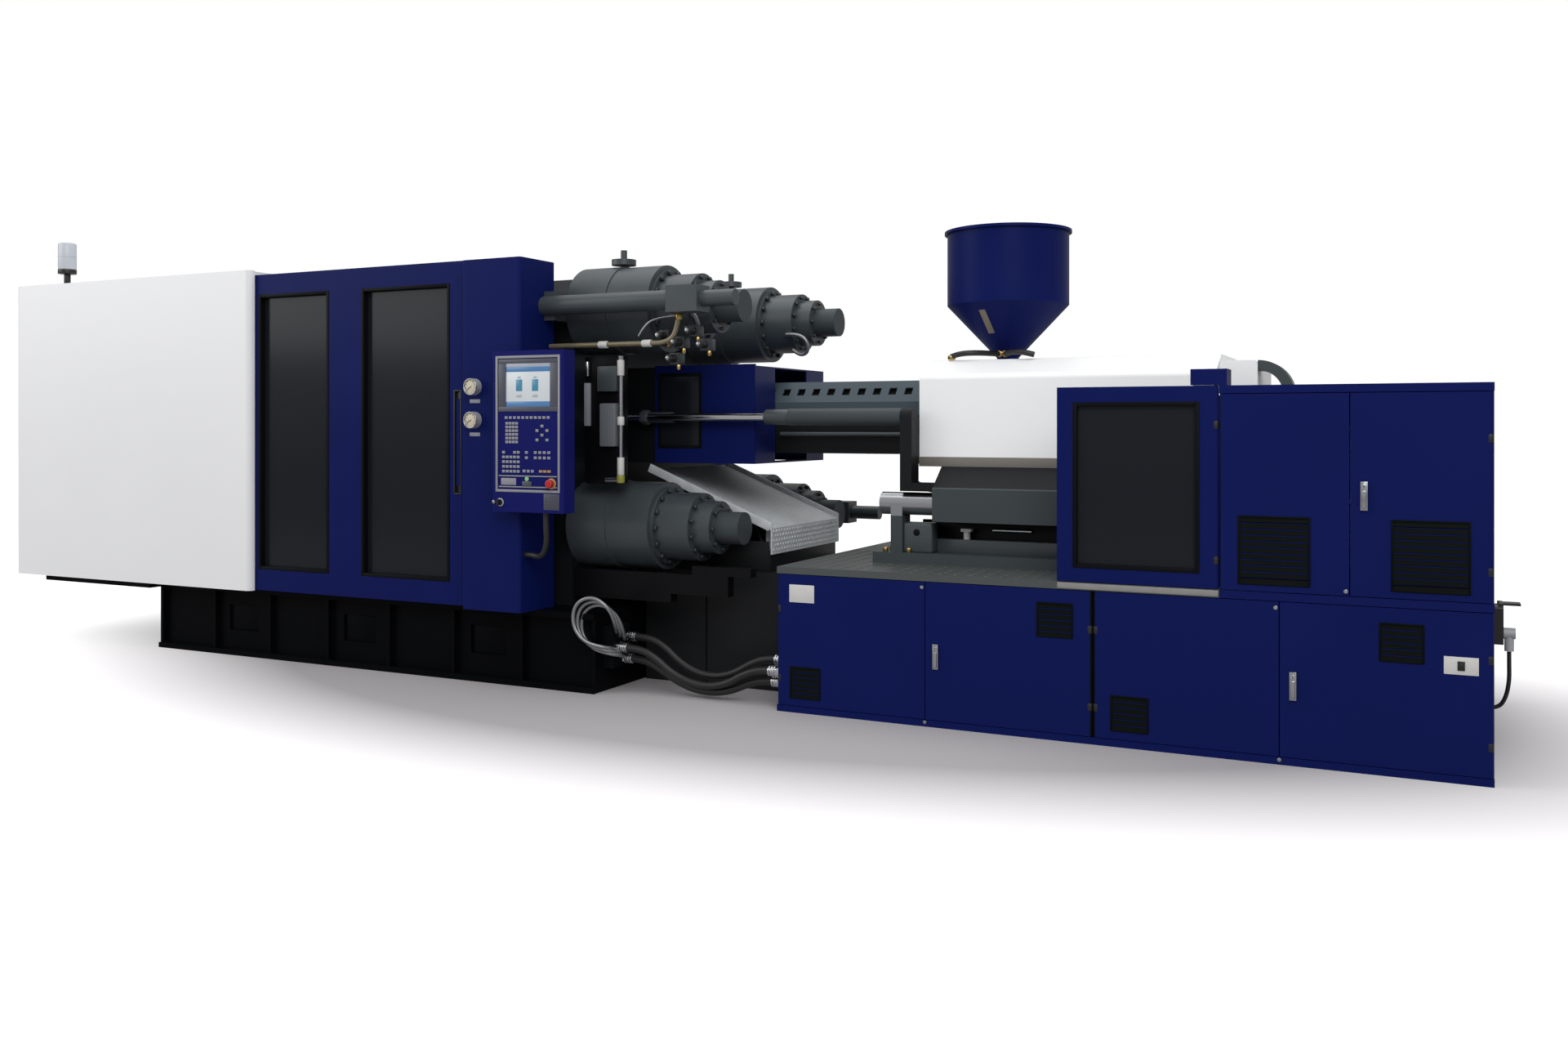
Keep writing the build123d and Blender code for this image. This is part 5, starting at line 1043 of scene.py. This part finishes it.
def saddle_fittings():
    """Dark plates of painted shade and grey beams under the saddle, bracket webs with a black disc of painted
    shade in each hole, a chrome shift bar and a pale coupling.
    """
    pieces = [
        # Both plates stand in for painted shade under the saddle.
        plate((1.700, -0.395, 0.684), (3.060, -0.385, 0.888), tray_and_shade_black, 0.002),
        plate((1.700, 0.385, 0.684), (3.060, 0.395, 0.888), tray_and_shade_black, 0.002),
        bar((2.060, -0.406, 0.846), (2.250, -0.406, 0.846), 0.0100, chrome_rod, 0.002, 16),
        bar((1.938, -0.430, 0.796), (1.938, -0.430, 0.842), 0.016, pipe_band, 0.003, 16),
        plate((1.912, -0.450, 0.836), (1.964, -0.410, 0.852), pipe_band, 0.003),
    ]
    web = plate((1.644, -0.045, 0.732), (1.796, 0.045, 0.878), casting_paint, 0.012, 3)
    # A black disc stands in for painted shade inside each bracket web's hole.
    hole = bar((1.716, -0.047, 0.832), (1.716, 0.047, 0.832), 0.017, tray_and_shade_black, 0.002, 20)
    beam = plate((1.794, -0.028, 0.732), (3.060, 0.028, 0.800), casting_paint, 0.005)
    for part, reach in ((web, 0.480), (hole, 0.480), (beam, 0.425)):
        pieces += copies(part, [(0, -reach, 0), (0, reach, 0)])
    gather("saddle_fittings", pieces, "frame")


def carriage_hoses():
    """Black hoses that drop from the hood's front end to the saddle."""
    pieces = []
    for y, shift in ((-0.365, 0.0), (-0.300, -0.05)):
        drop = [(1.700 + shift, y, 1.200), (1.660 + shift, y, 1.180), (1.620 + shift, y, 1.120)]
        drop += [(1.640 + shift, y, 1.060), (1.740, y, 1.030), (1.806, y, 1.030)]
        pieces.append(pipe(drop, 0.017, black_rubber, 8))
    gather("carriage_hoses", pieces, "carriage")


def hopper_sight():
    """Slanted sight window on the hopper's cone."""
    lean = math.atan2(0.305 - 0.055, 1.955 - 1.690)
    turn = math.radians(-12)
    radius = 0.217
    middle = (2.015 + radius * math.sin(turn), -radius * math.cos(turn), 1.862)
    slot = slab(middle, (0.034, 0.006, 0.150), sight_tan, turn=(lean, 0, turn))
    gather("hopper_sight", [slot], "carriage")


saddle_fittings()
carriage_hoses()
hopper_sight()

# Dark seal beside the cabinet and the bright rail under the window guard
cabinet_seal = plate((3.1535, -0.900, 0.690), (3.1625, -0.892, 1.470), black_rubber, 0.001)
guard_rail = plate((2.502, -0.9335, 0.654), (3.160, -0.9295, 0.679), rail_bright, 0.0015)
gather("cabinet_trim", [cabinet_seal, guard_rail], "frame")
heater_liner()
push_glands()
chute_dressing()

# Blank pale plate at the upper left of the first door
blank_plate = plate((1.231, -0.9325, 0.518), (1.359, -0.9295, 0.601), pipe_band, 0.001)
gather("door_1_plate", [blank_plate], "door_1")
rod_flanges()

# Taupe bands under the white hood on both sides, painted shade on its inward-sloped lower lip
hood_bands = [
    plate((1.694, -0.4322, 1.148), (3.087, -0.4290, 1.195), shaded_lip_taupe, 0.001),
    plate((1.694, 0.4290, 1.143), (3.087, 0.4322, 1.192), shaded_lip_taupe, 0.001),
]
gather("hood_lip", hood_bands, "carriage")
hopper_foot()
bracket_bolts()


def tread_pattern():
    """Raised lozenges of tread plate on the base top, one modelled and copied in rows."""
    pitch = 0.070
    start_clean()
    bpy.ops.mesh.primitive_uv_sphere_add(segments=8, ring_count=4, radius=1)
    lozenge = bpy.context.object
    lozenge.scale = (0.020, 0.0055, 0.0022)
    lozenge.rotation_euler = (0, 0, math.radians(45))
    settle()
    bpy.ops.object.mode_set(mode="EDIT")
    bpy.ops.mesh.select_all(action="SELECT")
    bpy.ops.mesh.bisect(plane_co=(0, 0, 0), plane_no=(0, 0, 1), clear_inner=True, use_fill=True)
    bpy.ops.object.mode_set(mode="OBJECT")
    bpy.ops.object.shade_smooth()
    lozenge.data.materials.append(tread_grey)
    for count, step in ((19, (pitch, 0, 0)), (13, (0, pitch, 0))):
        bpy.ops.object.modifier_add(type="ARRAY")
        rows = lozenge.modifiers[0]
        rows.count = count
        rows.use_relative_offset = False
        rows.use_constant_offset = True
        rows.constant_offset_displace = step
        bpy.ops.object.modifier_apply(modifier=rows.name)
    lozenge.location = (1.200, -0.890, 0.682)
    settle()
    gather("tread_pattern", [lozenge], "frame")


tread_pattern()


# Stage: pale floor that goes to white, soft lights and the photograph's camera
def stage_floor():
    """A wide pale floor that glows white to the camera far from the machine and stays grey near it, a painted
    shadow round its footprint, besides the machine's own cast shadow.
    """
    start_clean()
    bpy.ops.mesh.primitive_plane_add(size=120, location=(0, 0, 0))
    floor = bpy.context.object
    floor.name = "pale_floor"
    material, tree, shader = new_material("pale_floor")
    put(shader, {"Base Color": (0.43, 0.412, 0.425, 1), "Roughness": 1.0, "Specular IOR Level": 0.0})
    put(shader, {"Emission Color": (1, 1, 1, 1)})
    rays = add_node(tree, "LightPath")
    place = add_node(tree, "TexCoord")
    # The floor glows to the camera only beyond a squeezed distance from the machine, so it stays grey round
    # it: a painted shadow.
    squeeze = add_node(tree, "VectorMath", operation="MULTIPLY_ADD")
    put(squeeze, {1: (0.55, 1, 1), 2: (-0.385, 0, 0)})
    reach = add_node(tree, "VectorMath", operation="LENGTH")
    fade = add_node(tree, "MapRange")
    put(fade, {"From Min": 1.75, "From Max": 2.8, "To Min": 0.0, "To Max": 0.85})
    seen = add_node(tree, "Math", operation="MULTIPLY")
    wire(
        tree,
        (place, "Object", squeeze, 0),
        (squeeze, "Vector", reach, 0),
        (reach, "Value", fade, "Value"),
        (fade, "Result", seen, 0),
        (rays, "Is Camera Ray", seen, 1),
        (seen, "Value", shader, "Emission Strength"),
    )
    floor.data.materials.append(material)


def soft_lamp(name, place, aim, size, power):
    """A large square area lamp that points at a place."""
    data = bpy.data.lights.new(name, "AREA")
    data.size = size
    data.energy = power
    lamp = bpy.data.objects.new(name, data)
    lamp.location = place
    lamp.rotation_euler = (Vector(aim) - Vector(place)).to_track_quat("-Z", "Y").to_euler()
    show(lamp)


def white_world():
    """White behind everything, softer grey as light."""
    world = bpy.data.worlds.new("white_room")
    bpy.context.scene.world = world
    world.use_nodes = True
    tree = world.node_tree
    back = tree.nodes["Background"]
    put(back, {"Color": (1, 1, 1, 1)})
    rays = add_node(tree, "LightPath")
    seen = add_node(tree, "MapRange")
    put(seen, {"To Min": 0.48, "To Max": 1.0})
    wire(tree, (rays, "Is Camera Ray", seen, "Value"), (seen, "Result", back, "Strength"))


def photo_camera():
    """Level camera with a vertical shift, at the place solved from the photograph."""
    data = bpy.data.cameras.new("photo_camera")
    data.sensor_width = 36
    data.lens = 29.81
    data.shift_y = -0.0622
    camera = bpy.data.objects.new("photo_camera", data)
    camera.location = (3.885, -6.43, 1.35)
    camera.rotation_euler = (math.radians(90), 0, math.radians(26))
    show(camera)
    bpy.context.scene.camera = camera


stage_floor()
soft_lamp("key_lamp", (5.5, -8.0, 7.0), (0, 0, 1), 6, 480)
soft_lamp("left_lamp", (-8.0, -6.0, 5.0), (-2, 0, 1), 6, 265)
soft_lamp("top_lamp", (0, 0, 9.0), (0, 0, 0), 9, 335)
white_world()
photo_camera()
bpy.context.scene.view_settings.view_transform = "Standard"
